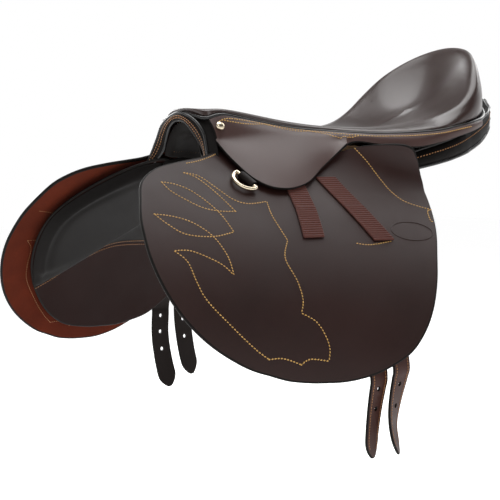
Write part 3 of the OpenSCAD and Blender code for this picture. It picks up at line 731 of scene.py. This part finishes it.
def skirt(name, side):
    ob = plate(f"skirt_sheet_{name}", SKIRT, SKIRT_T, [M["skirt"], M["edge"], M["sweat"]], side)
    skirt_blend(ob, side, name, "skirt_leather", f"skirt_strip_{name}", f"skirt_{name}")
    runs = [skirt_run([(3, 5.5), (10, 4.5), (40, 4.5), (60, 4.2), (80, 4), (97, 4)])]
    # scalloped second row under the front half of the seam
    for a, b, d in ((4, 24, 9), (24, 43, 8.5), (43, 61, 6)):
        runs.append(skirt_run([(a, 5), ((3 * a + b) / 4, 5 + 0.6 * d), ((a + b) / 2, 5 + 0.95 * d),
                               ((a + 3 * b) / 4, 5 + 0.85 * d), (b, 5)]))
    st = stitches(f"skirt_stitches_{name}", runs, M["thread"], side)
    skirt_blend(st, side, name, "skirt_leather")


both(skirt)

# ---------------- flaps
FLAP_EDGE = [
    (205, -193), (222, -192), (243, -189), (262, -183), (284, -175), (307, -161), (326, -145), (342, -125),
    (353, -103), (359, -80), (360, -57), (356, -35), (351, -20), (342, -4), (331, 12), (317, 22), (298, 30),
    (270, 36), (244, 40), (226, 43), (211, 48), (202, 53), (190, 53), (180, 48), (165, 42), (130, 41),
    (80, 44), (48, 50), (20, 57), (-14, 59), (-32, 55), (-40, 46), (-46, 34), (-46, 15), (-40, 2),
    (-31, -12), (-11, -40), (14, -70), (35, -98), (56, -125), (77, -148), (101, -168), (131, -182),
    (154, -189), (180, -193)]
FLAP_CENTRE = (165, -55)

# The stitched pattern of the front of the flap: runs between corners, as (x, z).
FLAP_RUNS = [
    [(270, 24), (253, 20), (241, 7), (230, -5), (214, -10), (189, -8)],
    [(189, -8), (194, -24), (193, -49)],
    [(193, -49), (207, -67), (205, -90), (207, -109), (214, -122)],
    [(214, -122), (199, -133), (193, -155), (197, -171)],
    [(197, -171), (217, -168), (228, -173)],
    [(228, -173), (246, -166), (262, -166)],
    [(262, -166), (276, -154), (295, -132), (314, -106), (319, -87), (321, -67), (331, -56)],
    [(331, -56), (311, -57), (285, -70), (275, -82)],
    [(275, -82), (273, -63), (279, -43), (294, -29), (313, -22), (334, -19)],
    [(334, -19), (325, -29), (309, -40), (279, -43), (252, -39)],
    [(252, -39), (257, -18), (272, 2), (288, 11), (304, 14)],
    [(304, 14), (298, 3), (276, -12), (257, -17), (236, -18)],
    [(236, -18), (245, 1), (257, 18), (270, 24)],
    [(258, 34), (238, 37), (214, 43), (205, 47)],
    [(33, 54), (21, 36), (14, 16), (10, 0), (2, -11), (-24, -20)],
    [(-24, -20), (-17, -22), (-11, -32), (-15, -33)],
    [(110, -54), (92, -56), (63, -53)],
]


def flap(name, side):
    outline = even(curve(FLAP_EDGE, 8, True), 4.5, True)
    mats = [M["flap"], M["edge"], M["suede"]]
    ob = leaf(f"flap_sheet_{name}", outline, FLAP_CENTRE, on_drape, FLAP_T, mats, side, rings=44)
    outward(ob)
    flap_blend(ob, side, name, "flap_leather", f"flap_top_{name}", f"flap_{name}")
    runs = [drape_run(r, FLAP_T / 2 + 0.05) for r in FLAP_RUNS]
    st = stitches(f"flap_stitches_{name}", runs, M["thread"], side)
    flap_blend(st, side, name, "flap_leather")
    # the same seams come out on the flesh side
    back = [(p, -n) for p, n in (drape_run(r, -FLAP_T / 2 - 0.05) for r in FLAP_RUNS[4:9])]
    st = stitches(f"flap_stitches_back_{name}", back, M["thread_dark"], side, wide=0.8, high=0.5)
    flap_blend(st, side, name, "flap_leather")
    # a plain blind-tooled oval, pressed up from the leather
    a = np.linspace(0, 2 * np.pi, 61)[:-1]
    ring = on_drape(26 + 27 * np.cos(a), -43 + 10 * np.sin(a), np.full(60, FLAP_T / 2))
    oval = tube(f"flap_oval_{name}", ring, 0.55, M["flap"], 8, closed=True, side=side)
    fasten(oval, "flap_leather", body=f"flap_{name}_body")


both(flap)

# ---------------- sweat flaps with their padded lining
SWEAT_EDGE = [
    (175, -175), (205, -174), (242, -168), (265, -157), (284, -142), (302, -120), (314, -100), (323, -76),
    (326, -49), (322, -24), (311, -6), (292, 12), (268, 29), (245, 40), (229, 46), (211, 51), (186, 48),
    (160, 37), (100, 36), (55, 36), (30, 34), (16, 18), (8, -10), (12, -45), (25, -80), (45, -112),
    (70, -142), (99, -163), (134, -172), (155, -175)]
LINING_EDGE = [
    (307, -110), (285, -98), (262, -84), (240, -71), (222, -62), (205, -57), (187, -55), (138, -56),
    (90, -56), (58, -54), (44, -42), (34, -12), (38, 10), (48, 24), (90, 27), (150, 32), (184, 43),
    (210, 47), (229, 44), (245, 38), (267, 26), (290, 10), (309, -7), (320, -25), (323, -50), (320, -76),
    (314, -96)]
SWEAT_SEAM = [
    (306, -111), (285, -100), (262, -86), (240, -73), (222, -64), (205, -59), (187, -57), (160, -57),
    (138, -58)]


# Depth of the stuffed lining, and the distance over which it rises from its edge.
LINING_DEEP, EDGE_ROUND = 12.5, 6


def sweat(name, side):
    outline = even(curve(SWEAT_EDGE, 8, True), 5, True)
    mid = SWEAT_OUT - SWEAT_T / 2
    ob = leaf(f"sweat_sheet_{name}", outline, (165, -60), lambda x, z, t: on_drape(x, z, mid + t), SWEAT_T,
              [M["sweat"], M["edge"], M["sweat"]], side, rings=26)
    outward(ob)
    fasten(ob, "sweat_leather", f"sweat_flap_{name}")

    # the stuffed lining: a pillow with a low roll along its front edge
    b = even(curve(LINING_EDGE, 8, True), 4, True)
    c = np.array([180.0, -14])
    n = len(b)
    front = np.clip((b[:, 0] - 205) / 70, 0, 1) ** 1.2
    # the stuffing thins out towards the seam along the foot of the lining
    foot = np.clip((-40 - b[:, 1]) / 12, 0, 1) * np.clip((316 - b[:, 0]) / 14, 0, 1)
    base_t = SWEAT_OUT - SWEAT_T - 0.2
    rings = []
    shares = list(1 - (1 - np.linspace(0, 1, 30)) ** 1.7)
    for r in shares[1:]:
        p = c + (b - c) * r
        edge = np.linalg.norm(b - p, axis=1)
        pillow = LINING_DEEP * (1 - np.exp(-edge / (EDGE_ROUND + 44 * foot)))
        crest, groove = np.exp(-((edge - 7.5) / 3) ** 2), np.exp(-((edge - 14) / 4) ** 2)
        roll = front * (1 - foot) * (2.0 * crest - 0.8 * groove)
        rings.append(on_drape(p[:, 0], p[:, 1], base_t - 0.5 - np.maximum(pillow + roll, 0.5)))
    rings.append(on_drape(b[:, 0], b[:, 1], np.full(n, base_t - 0.3)))
    for r in (0.85, 0.5, 0.1):
        p = c + (b - c) * r
        rings.append(on_drape(p[:, 0], p[:, 1], np.full(n, base_t)))
    pad = closed_loft(f"lining_{name}", rings, [M["black"]], side)
    fasten(pad, "panel_leather", f"flap_pad_{name}", f"knee_roll_{name}")

    # two rows along the foot of the lining: one through the lining, one beside it
    p = even(curve(SWEAT_SEAM, 8), 1.5)
    runs = []
    for drop, lift in ((2.5, SWEAT_OUT - SWEAT_T), (-3.5, base_t - 1.6)):
        at = p - np.array([0, drop])
        runs.append((on_drape(at[:, 0], at[:, 1], np.full(len(at), lift)), -drape_normal(at[:, 0], at[:, 1])))
    st = stitches(f"sweat_stitches_{name}", runs, M["thread_dark"], side, wide=1.2)
    fasten(st, "sweat_leather")


both(sweat)

# ---------------- panels
PANEL = [
    [-244, [[14, 120], [14, 124], [24, 126], [32, 126], [32, 120], [22, 118]]],
    [-232, [[16, 102], [16, 113], [38, 116], [56, 114], [56, 103], [36, 100]]],
    [-214, [[20, 82], [20, 102], [50, 105], [75, 104], [76, 88], [46, 82]]],
    [-188, [[26, 62], [26, 84], [58, 88], [90, 94], [94, 71], [60, 64]]],
    [-150, [[30, 45], [30, 66], [66, 68], [104, 80], [110, 55], [70, 46]]],
    [-108, [[32, 33], [32, 50], [70, 52], [116, 66], [120, 43], [78, 34]]],
    [-64, [[32, 24], [32, 40], [66, 41], [110, 53], [117, 33], [76, 25]]],
    [-20, [[32, 18], [32, 38], [58, 39], [90, 39], [97, 24], [68, 14]]],
    [20, [[32, 12], [32, 40], [52, 41], [74, 38], [78, 22], [58, 9]]],
    [60, [[32, 10], [32, 43], [43, 43], [54, 36], [62, 14], [50, 5]]],
    [100, [[32, 8], [32, 46], [38, 44], [45, 36], [60, 8], [47, 3]]],
    [140, [[34, 10], [33, 43.5], [38, 43], [45, 36], [58, 8], [46, 4]]],
    [180, [[40, 18], [38, 42], [41, 42], [45, 36], [56, 14], [48, 12]]],
    [204, [[49, 26], [47, 38], [49, 38], [52, 34], [56, 26], [52, 24]]]]


def panel(name, side):
    keys = np.array([[[s[0], *p] for p in s[1]] for s in PANEL], float)
    rows = np.stack([curve(keys[:, k], 7) for k in range(6)], 1)
    rings = np.array([curve(r, 7, True) for r in rows])
    mids = rings.mean(1, keepdims=True)
    # the stuffing swells each section a little, and puckers run in from the welts at the rear
    n = len(rings)
    rng = np.random.default_rng(11)
    swell = 0.6 * np.sin(np.linspace(0, math.pi, n))[:, None, None] * unit(rings - mids)
    a = np.arange(rings.shape[1]) / 7
    near = np.exp(-((a - 3) / 0.5) ** 2) + np.exp(-((a - 4) / 0.5) ** 2)
    wave = np.repeat(rng.uniform(-1, 1, (n + 1) // 2), 2)[:n]
    rear = np.clip((-60 - mids[:, 0, 0]) / 60, 0, 1)
    rings = rings + swell + unit(rings - mids) * (0.7 * wave * rear)[:, None, None] * near[None, :, None]
    ends = [mids[0] + (rings[0] - mids[0]) * s + [-d, 0, 0] for s, d in ((0.35, 2.2), (0.8, 1.2))]
    tips = [mids[-1] + (rings[-1] - mids[-1]) * s + [d, 0, 0] for s, d in ((0.8, 1.2), (0.35, 2.2))]
    ob = closed_loft(f"panel_skin_{name}", np.concatenate([ends, rings, tips]), [M["black"]], side, sharp=80)
    fasten(ob, "panel_leather", f"panel_{name}")
    # welts along the gusset
    for tag, k in (("upper", 3), ("lower", 4)):
        line = rings[4:56, k * 7] + unit(rings[4:56, k * 7] - mids[4:56, 0]) * 0.8
        w = tube(f"panel_welt_{tag}_{name}", even(line, 3), 2.1, M["piping"], 10, side=side)
        fasten(w, "piping_leather")
    g = rings[:, 24]
    out = unit(g - mids[:, 0])
    run = (g[3:50] + out[3:50] * 0.1, out[3:50])
    st = stitches(f"panel_stitches_{name}", [run], M["thread_dark"], side, pitch=4)
    fasten(st, "panel_leather")


both(panel)

# ---------------- pommel facing
FACING_OUT = [
    [214.2, 0, 94], [214.2, 12, 92], [213.6, 26, 87], [213, 39, 79], [212, 49, 66], [214, 57, 50],
    [216, 62, 40], [216, 66, 30], [215, 68, 21]]
FACING_IN = [
    [214.2, 0, 86], [214.2, 12, 84], [213.4, 22, 77], [211, 31, 66], [209, 39, 55], [210, 46, 46],
    [214, 53, 37], [214, 58, 27], [213, 61, 18]]


def pommel():
    o = np.array(FACING_OUT, float)
    i = np.array(FACING_IN, float)
    o = np.vstack([(o * [1, -1, 1])[:0:-1], o])
    i = np.vstack([(i * [1, -1, 1])[:0:-1], i])
    oc, ic = curve(o, 7), curve(i, 7)
    cols = np.linspace(0, 1, 11)
    g = np.stack([oc * (1 - t) + ic * t + [1.5 + 2.4 * math.sin(math.pi * t), 0, 0] for t in cols], 1)
    ob = plate("pommel_face", g, 3, [M["black"], M["edge"], M["black"]], face=(1, 0, 0))
    fasten(ob, "panel_leather", "pommel_facing")
    for tag, line in (("outer", oc), ("inner", ic)):
        w = tube(f"pommel_welt_{tag}", even(line + [2.6, 0, 0.5 if tag == "outer" else -0.6], 2.5),
                 1.7 if tag == "outer" else 1.2, M["piping"], 12)
        fasten(w, "piping_leather")
    runs = [(oc * a + ic * (1 - a) + [5.1, 0, 0], np.tile([1.0, 0, 0], (len(oc), 1))) for a in (0.34, 0.62)]
    st = stitches("pommel_stitches", runs, M["thread_dark"], pitch=3.4)
    fasten(st, "panel_leather")


pommel()


# The black leather that closes the gap between the facing and the skirt's front edge.
GAP_IN = [[212, 26, 86], [212, 39, 78], [212, 49, 65], [214, 57, 50], [215, 62, 38]]
GAP_OUT = [[206, 42, 87], [204, 47, 82], [204, 55, 68], [206, 62, 54], [208, 68, 42]]
# The band under the cantle, from the seat's piping down to the panel.
CANTLE_LOW = [
    [-134, 103, 72], [-160, 99, 79], [-188, 86, 88], [-214, 68, 98], [-230, 44, 108], [-238, 20, 116],
    [-240, 0, 118]]
CANTLE_TOP = [
    [-134, 112, 82], [-160, 106, 88], [-188, 86, 99], [-206, 60, 111], [-215, 38, 119], [-219, 16, 124],
    [-220, 0, 125]]


def fillers(name, side):
    """The two black gussets of one side."""
    for tag, a, b, face in (("pommel", GAP_IN, GAP_OUT, (1, 0.3, 0)),
                            ("cantle", CANTLE_TOP, CANTLE_LOW, (-0.6, 0.8, -0.3))):
        a, b = curve(a, 6), curve(b, 6)
        g = np.stack([a * (1 - t) + b * t for t in np.linspace(0, 1, 6)], 1)
        ob = plate(f"{tag}_gusset_{name}", g, 1.4, [M["black"], M["black"], M["black"]], side, face=face)
        fasten(ob, "panel_leather")


both(fillers)

# ---------------- gullet lining
GULLET = [
    [-232, [[0, 108], [3, 108], [6, 107.8], [9.6, 107.3], [12, 107]]],
    [-214, [[0, 97], [4, 97], [8, 96.8], [12.8, 96.3], [16, 96]]],
    [-188, [[0, 79], [5.5, 79], [11, 78.8], [17.6, 78.3], [22, 78]]],
    [-150, [[0, 61], [6.5, 61], [13, 60.8], [20.8, 60.3], [26, 60]]],
    [-108, [[0, 46], [7, 46], [14, 45.8], [22.8, 45.3], [28.5, 45]]],
    [-64, [[0, 36.5], [7, 36.5], [14, 36.3], [22.8, 35.8], [28.5, 35.5]]],
    [-20, [[0, 34], [7, 34], [14.5, 33.8], [23.2, 33.3], [29, 33]]],
    [20, [[0, 35.5], [7, 35.5], [14.8, 35.3], [23.6, 34.8], [29.5, 34.5]]],
    [60, [[0, 38], [7, 38], [14.8, 37.8], [23.6, 37.3], [29.5, 37]]],
    [100, [[0, 41], [7, 41], [14.8, 40.8], [23.6, 40.3], [29.5, 40]]],
    [130, [[0, 48], [8, 47.5], [15, 46], [23, 43], [29.5, 41]]],
    [155, [[0, 60], [10, 59], [19, 54.5], [26, 48], [30, 42]]],
    [184, [[0, 69], [13, 67], [22.5, 61], [28.5, 52.5], [31, 43]]],
    [205, [[0, 69], [13, 67], [22.5, 61], [28.5, 52.5], [32, 43]]],
    [211, [[0, 82.5], [12, 80.5], [21.5, 74], [30, 63], [37.5, 45]]]]


def gullet():
    rows = []
    for x, pts in GULLET:
        p = np.array([[x, y, z + 0.75] for y, z in pts], float)
        rows.append(curve(np.vstack([(p * [1, -1, 1])[:0:-1], p]), 4))
    g = np.stack([curve(np.array(rows)[:, k], 6) for k in range(len(rows[0]))], 1)
    ob = plate("gullet_cover", g, 1.5, [M["black"], M["edge"], M["black"]], face=(0, 0, -1))
    fasten(ob, "panel_leather", "gullet_lining")
    # seams along both sides of the arch, where the lining is sewn in
    runs = []
    for k in (3, -4):
        line = g[66:, k] - [0, 0, 0.8]
        runs.append((line, np.tile([0, -np.sign(line[0, 1]) * 0.8, -0.6], (len(line), 1))))
    st = stitches("gullet_stitches", runs, M["thread_dark"], pitch=3.4, wide=1.0)
    fasten(st, "panel_leather")


gullet()

# ---------------- girth straps
# Centre x at the top, x and z where it leaves the flap, side, length of the tail, holes, then how the tail
# hangs: (share of its length, x, y, degrees of twist) from straight down.
STRAPS = {
    "left_front": (131, 141, -190, 1, 82, 2,
                   [(0, 0, 0, 10), (0.4, 2, -5, 17), (0.8, 3, -8, 22), (1, 2, -7, 22)]),
    "left_rear": (100, 113, -180, 1, 90, 2,
                  [(0, 0, 0, 10), (0.4, 3, -7, 22), (0.7, 3, -9, 34), (1, -1, -5, 40)]),
    "right_front": (90, 68, -156, -1, 108, 3,
                    [(0, 0, 0, 0), (0.35, 1, 0, 0), (0.7, -4, -2, 3), (1, -11, -6, 8)]),
    "right_rear": (55, 36, -134, -1, 114, 3,
                   [(0, 0, 0, 0), (0.35, -1, 0, 0), (0.7, -5, -3, -3), (1, -12, -7, -6)])}
STRAP_W, TIP_L, TAIL_GAP = 25.0, 18, 3.8
HOLE_PITCH, HOLE_START, HOLE_R = 23.0, 52.0, 2.7


def strap(name, x_top, x_low, z_low, side, tail_l, holes, hang):
    n_up = 46
    z = np.linspace(30, z_low, n_up)
    xc = np.interp(z, [z_low, 30], [x_low, x_top])
    c = on_drape(xc, z, np.full(n_up, STRAP_OUT - STRAP_T / 2))
    pivot = c[-1] - [0, 0, TAIL_GAP]
    # the last stretch turns from the slope of the drape to hanging down
    way = curve(np.array(hang, float), 12)

    def tail_at(down):
        share = np.asarray(down) / tail_l
        return np.stack([pivot[0] + np.interp(share, way[:, 0], way[:, 1]),
                         pivot[1] + np.interp(share, way[:, 0], way[:, 2]), pivot[2] - np.asarray(down)], -1)

    line = even(curve(np.vstack([c[::5], tail_at(np.linspace(8, tail_l, 9))]), 8), 2.2)
    t = unit(np.gradient(line, axis=0))
    across = unit(np.cross(t, np.array([0.0, 1.0, 0.0])))
    if across[0, 0] < 0:
        across = -across
    nrm = unit(np.cross(across, t))
    if nrm[0, 1] < 0:
        nrm = -nrm
    down = pivot[2] - line[:, 2]
    twist = np.interp(down / tail_l, way[:, 0], way[:, 3]) * np.clip((down + 22) / 22, 0, 1)
    twist = np.radians(twist)[:, None]
    across, nrm = across * np.cos(twist) + nrm * np.sin(twist), nrm * np.cos(twist) - across * np.sin(twist)
    w = np.linspace(-1, 1, 13)
    from_end = np.concatenate([np.cumsum(np.linalg.norm(np.diff(line, axis=0), axis=1)[::-1])[::-1], [0]])
    # the tip rounds off over its last stretch
    rounding = 0.16 + 0.84 * np.sin(np.clip(from_end / TIP_L, 0, 1) * math.pi / 2) ** 0.8
    half = STRAP_W / 2 * np.where(from_end < TIP_L, rounding, 1)
    g = line[:, None] + across[:, None] * (w[None, :, None] * half[:, None, None])
    dark = side < 0
    face = M["strap_dark"] if dark else M["strap"]
    ob = plate(f"strap_{name}", g, STRAP_T, [face, M["edge"], M["strap_dark"]], side)
    # punched holes
    flip = np.array([1, side, 1])
    drills = []
    for i in range(holes):
        k = int(np.argmin(np.abs(down - (tail_l - HOLE_START - HOLE_PITCH * i))))
        bpy.ops.mesh.primitive_cylinder_add(vertices=24, radius=HOLE_R * MM, depth=0.012, location=(0, 0, 0))
        d = bpy.context.object
        d.data.transform(Vector(nrm[k] * flip).to_track_quat("Z", "Y").to_matrix().to_4x4())
        d.location = tuple(line[k] * flip * MM)
        d.data.materials.append(M["edge"])
        drills.append(d)
    for d in drills:
        mod = ob.modifiers.new("hole", "BOOLEAN")
        mod.object = d
        mod.operation = "DIFFERENCE"
        mod.solver = "EXACT"
    bpy.context.view_layer.update()
    done = bpy.data.meshes.new_from_object(ob.evaluated_get(bpy.context.evaluated_depsgraph_get()))
    ob.modifiers.clear()
    ob.data = done
    for d in drills:
        bpy.data.objects.remove(d)
    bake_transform(ob)
    label((f"billet_{name}", f"billet_tail_{name}"))
    # stitched edges, running on round the tip
    keep = from_end > 7
    runs = []
    for s in (-1, 1):
        p = line + across * (s * (half - 3.2))[:, None] + nrm * (STRAP_T / 2)
        runs.append((p[keep], nrm[keep]))
    st = stitches(f"strap_stitches_{name}", runs, M["thread_dark"], side, tilt=0, pitch=3, wide=1.1)
    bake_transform(st)
    label(())


for key, values in STRAPS.items():
    strap(key, *values)

# ---------------- ribbed web tabs
TABS = {"front": (138, 146, 159, -47, 9), "rear": (89, 81, 72, -52, 17)}
TAB_W, TAB_T = 25.0, 2.0
TAB_Z = HINGE_Z - 4


def tab_plate(name, z0, z1, x0, x1, side, lift):
    m = int(abs(z0 - z1) / 0.42)
    z = np.linspace(z0, z1, m)
    xc = np.linspace(x0, x1, m)
    w = np.linspace(-TAB_W / 2, TAB_W / 2, 9)
    X = xc[:, None] + w[None]
    Z = np.repeat(z[:, None], 9, 1)
    g = on_drape(X, Z, np.full(X.shape, FLAP_T / 2 + lift + TAB_T / 2))
    s = np.concatenate([[0], np.cumsum(np.linalg.norm(np.diff(g[:, 4], axis=0), axis=1))])
    rib = 0.45 * np.sin(2 * np.pi * s / 3.4)[:, None] * np.ones((1, 9))
    return plate(name, g, TAB_T, [M["nylon"], M["nylon"], M["nylon"]], side, outer=rib)


def tabs(name, side):
    for end, (x_top, x_mid, x_low, z_low, z_top) in TABS.items():
        stub = tab_plate(f"tab_stub_{end}_{name}", z_top, TAB_Z + 0.5, x_top, x_mid, side, 0.3)
        roots = [f"tab_root_{name}"] if end == "front" else []
        flap_blend(stub, side, name, "tab_nylon", *roots)
        hang = tab_plate(f"tab_hang_{end}_{name}", TAB_Z, z_low, x_mid, x_low, side, 0.6)
        fasten(hang, "tab_nylon", f"web_tab_{name}_{end}", body=f"tab_{name}_{end}_body")


both(tabs)

# ---------------- dees, chapes and nails
DEE_R, DEE_WIRE, CHAPE_W = 15.7, 2.2, 20.0
dee_at = on_drape(200, 12, 6.8)
dee_along = unit(on_drape(193.5, 0, 6.8) - on_drape(206.5, 24, 6.8))
dee_n = drape_normal(np.float64(200), np.float64(12))
dee_up = unit(dee_n - (dee_n @ dee_along) * dee_along)
dee_fwd = np.cross(dee_along, dee_up)
dee_fwd = dee_fwd if dee_fwd[0] > 0 else -dee_fwd


def dee_place(x, y, z):
    return dee_at + np.outer(x, dee_along) + np.outer(y, dee_fwd) + np.outer(z, dee_up)


def dee(name, side):
    a = np.linspace(0, math.pi, 29)
    bow_x, bow_y = DEE_R * np.cos(a), DEE_R * np.sin(a)
    bar_x = np.linspace(-DEE_R, DEE_R, 16)[1:-1]
    x = np.concatenate([bow_x, bar_x])
    y = np.concatenate([bow_y, 0 * bar_x])
    ring = tube(f"dee_ring_{name}", dee_place(x, y, 0 * x), DEE_WIRE, M["brass"], 16, closed=True, side=side,
                up=tuple(dee_up))
    fasten(ring, "dee_brass", f"dee_{name}", body=f"dee_{name}_body")
    # the chape: a strap end folded round the bar
    r = DEE_WIRE + 1.3
    b = np.linspace(math.pi / 2, -math.pi / 2, 13)
    py = np.concatenate([np.linspace(-26, -0.5, 9), r * np.cos(b), np.linspace(-0.5, -5, 5)])
    pz = np.concatenate([np.full(9, -r), -r * np.sin(b), np.linspace(r, 0.6 * r, 5)])
    w = np.linspace(-CHAPE_W / 2, CHAPE_W / 2, 7)
    g = np.stack([dee_place(np.full(len(py), v), py, pz) for v in w], 1)
    mats = [M["strap_dark"], M["edge"], M["strap_dark"]]
    loop = plate(f"chape_{name}", g, 1.5, mats, side, face=tuple(dee_up))
    fasten(loop, "strap_leather", f"dee_chape_{name}")


both(dee)


def nail(name, side):
    dome = [(5.5 * math.cos(q), 0.9 + 2.9 * math.sin(q)) for q in np.radians([15, 30, 45, 60, 75])]
    prof = [(4.4, -1.0), (4.8, 0.2), (5.4, 0.5), (5.5, 0.9)] + dome
    a = np.linspace(0, 2 * np.pi, 40, endpoint=False)
    verts = [np.array([r * np.cos(t), r * np.sin(t), h]) for r, h in prof for t in a]
    verts.append(np.array([0, 0, 3.8]))
    q = math.radians(-60)
    turn = np.array([[1, 0, 0], [0, math.cos(q), -math.sin(q)], [0, math.sin(q), math.cos(q)]])
    verts = np.array(verts) @ turn.T + [199, 56, 77] + turn @ np.array([0, 0, 1.7])
    rows = len(prof)
    faces = ring_faces(rows, 40)
    top = len(verts) - 1
    faces += [((rows - 1) * 40 + j, (rows - 1) * 40 + (j + 1) % 40, top) for j in range(40)]
    faces.append(tuple(range(40))[::-1])
    ob = outward(mesh(f"nail_head_{name}", verts, faces, [M["brass"]], side=side, sharp=70))
    fasten(ob, "nail_brass", f"skirt_nail_{name}")


both(nail)

# ---------------- CAD pieces that show as they are
KEEP = {"tree_frame": "wood", "head_plate": "japanned", "gullet_plate": "japanned",
        "cantle_plate": "japanned", "tree_rivets": "steel", "seat_web_long": "linen",
        "seat_web_cross": "linen", "girth_web_front": "girth_web", "girth_web_rear": "girth_web"}
for word in SIDES:
    KEEP[f"tree_spring_{word}"] = "japanned"
    KEEP[f"stirrup_bar_{word}"] = "steel"
    KEEP[f"bar_catch_{word}"] = "steel"
for node, kind in KEEP.items():
    data = bpy.data.objects[node].data
    data.materials.clear()
    data.materials.append(M[kind])

# ---------------- studio
# A white surround up to head height with a dim ceiling over it.
world = bpy.data.worlds.new("studio")
bpy.context.scene.world = world
world.use_nodes = True
sky = world.node_tree
where = sky.nodes.new("ShaderNodeTexCoord")
split = sky.nodes.new("ShaderNodeSeparateXYZ")
height = sky.nodes.new("ShaderNodeMapRange")
height.interpolation_type = "SMOOTHSTEP"
for key, value in {"From Min": 0.22, "From Max": 0.5, "To Min": 1.0, "To Max": 0.10}.items():
    height.inputs[key].default_value = value
sky.links.new(where.outputs["Generated"], split.inputs[0])
sky.links.new(split.outputs["Z"], height.inputs["Value"])
sky.links.new(height.outputs["Result"], sky.nodes["Background"].inputs["Strength"])
sky.nodes["Background"].inputs["Color"].default_value = (1, 1, 1, 1)

paper = Nodes("paper", rough=0.95)
paper.set(Base_Color=(0.8, 0.8, 0.8, 1), Emission_Color=(1, 1, 1, 1))
paper.set(Emission_Strength=0.8, Specular_IOR_Level=0.1)
ground = bpy.data.meshes.new("floor")
ground.from_pydata([(-9, -9, -0.46), (9, -9, -0.46), (9, 9, -0.46), (-9, 9, -0.46)], [], [(0, 1, 2, 3)])
ground.materials.append(paper.mat)
floor = bpy.data.objects.new("floor", ground)
bpy.context.scene.collection.objects.link(floor)


def area(name, at, aim, size, power, size_y=None):
    data = bpy.data.lights.new(name, "AREA")
    data.shape = "RECTANGLE"
    data.size = size
    data.size_y = size_y or size
    data.energy = power
    ob = bpy.data.objects.new(name, data)
    ob.location = at
    ob.rotation_euler = (Vector(aim) - Vector(at)).to_track_quat("-Z", "Y").to_euler()
    bpy.context.scene.collection.objects.link(ob)


area("overhead", (-0.1, -0.35, 1.9), (-0.1, -0.3, 0.0), 2.3, 50, 2.0)
area("back", (0.05, -2.3, 0.75), (-0.15, 0.0, 0.15), 1.5, 26, 0.9)
area("key", (1.3, 1.5, 1.7), (0.05, 0.0, 0.0), 0.8, 6)
area("rear", (-1.5, -0.4, 1.0), (0, 0, 0.05), 0.8, 8)

scene = bpy.context.scene
scene.view_settings.view_transform = "Standard"
scene.view_settings.look = "None"
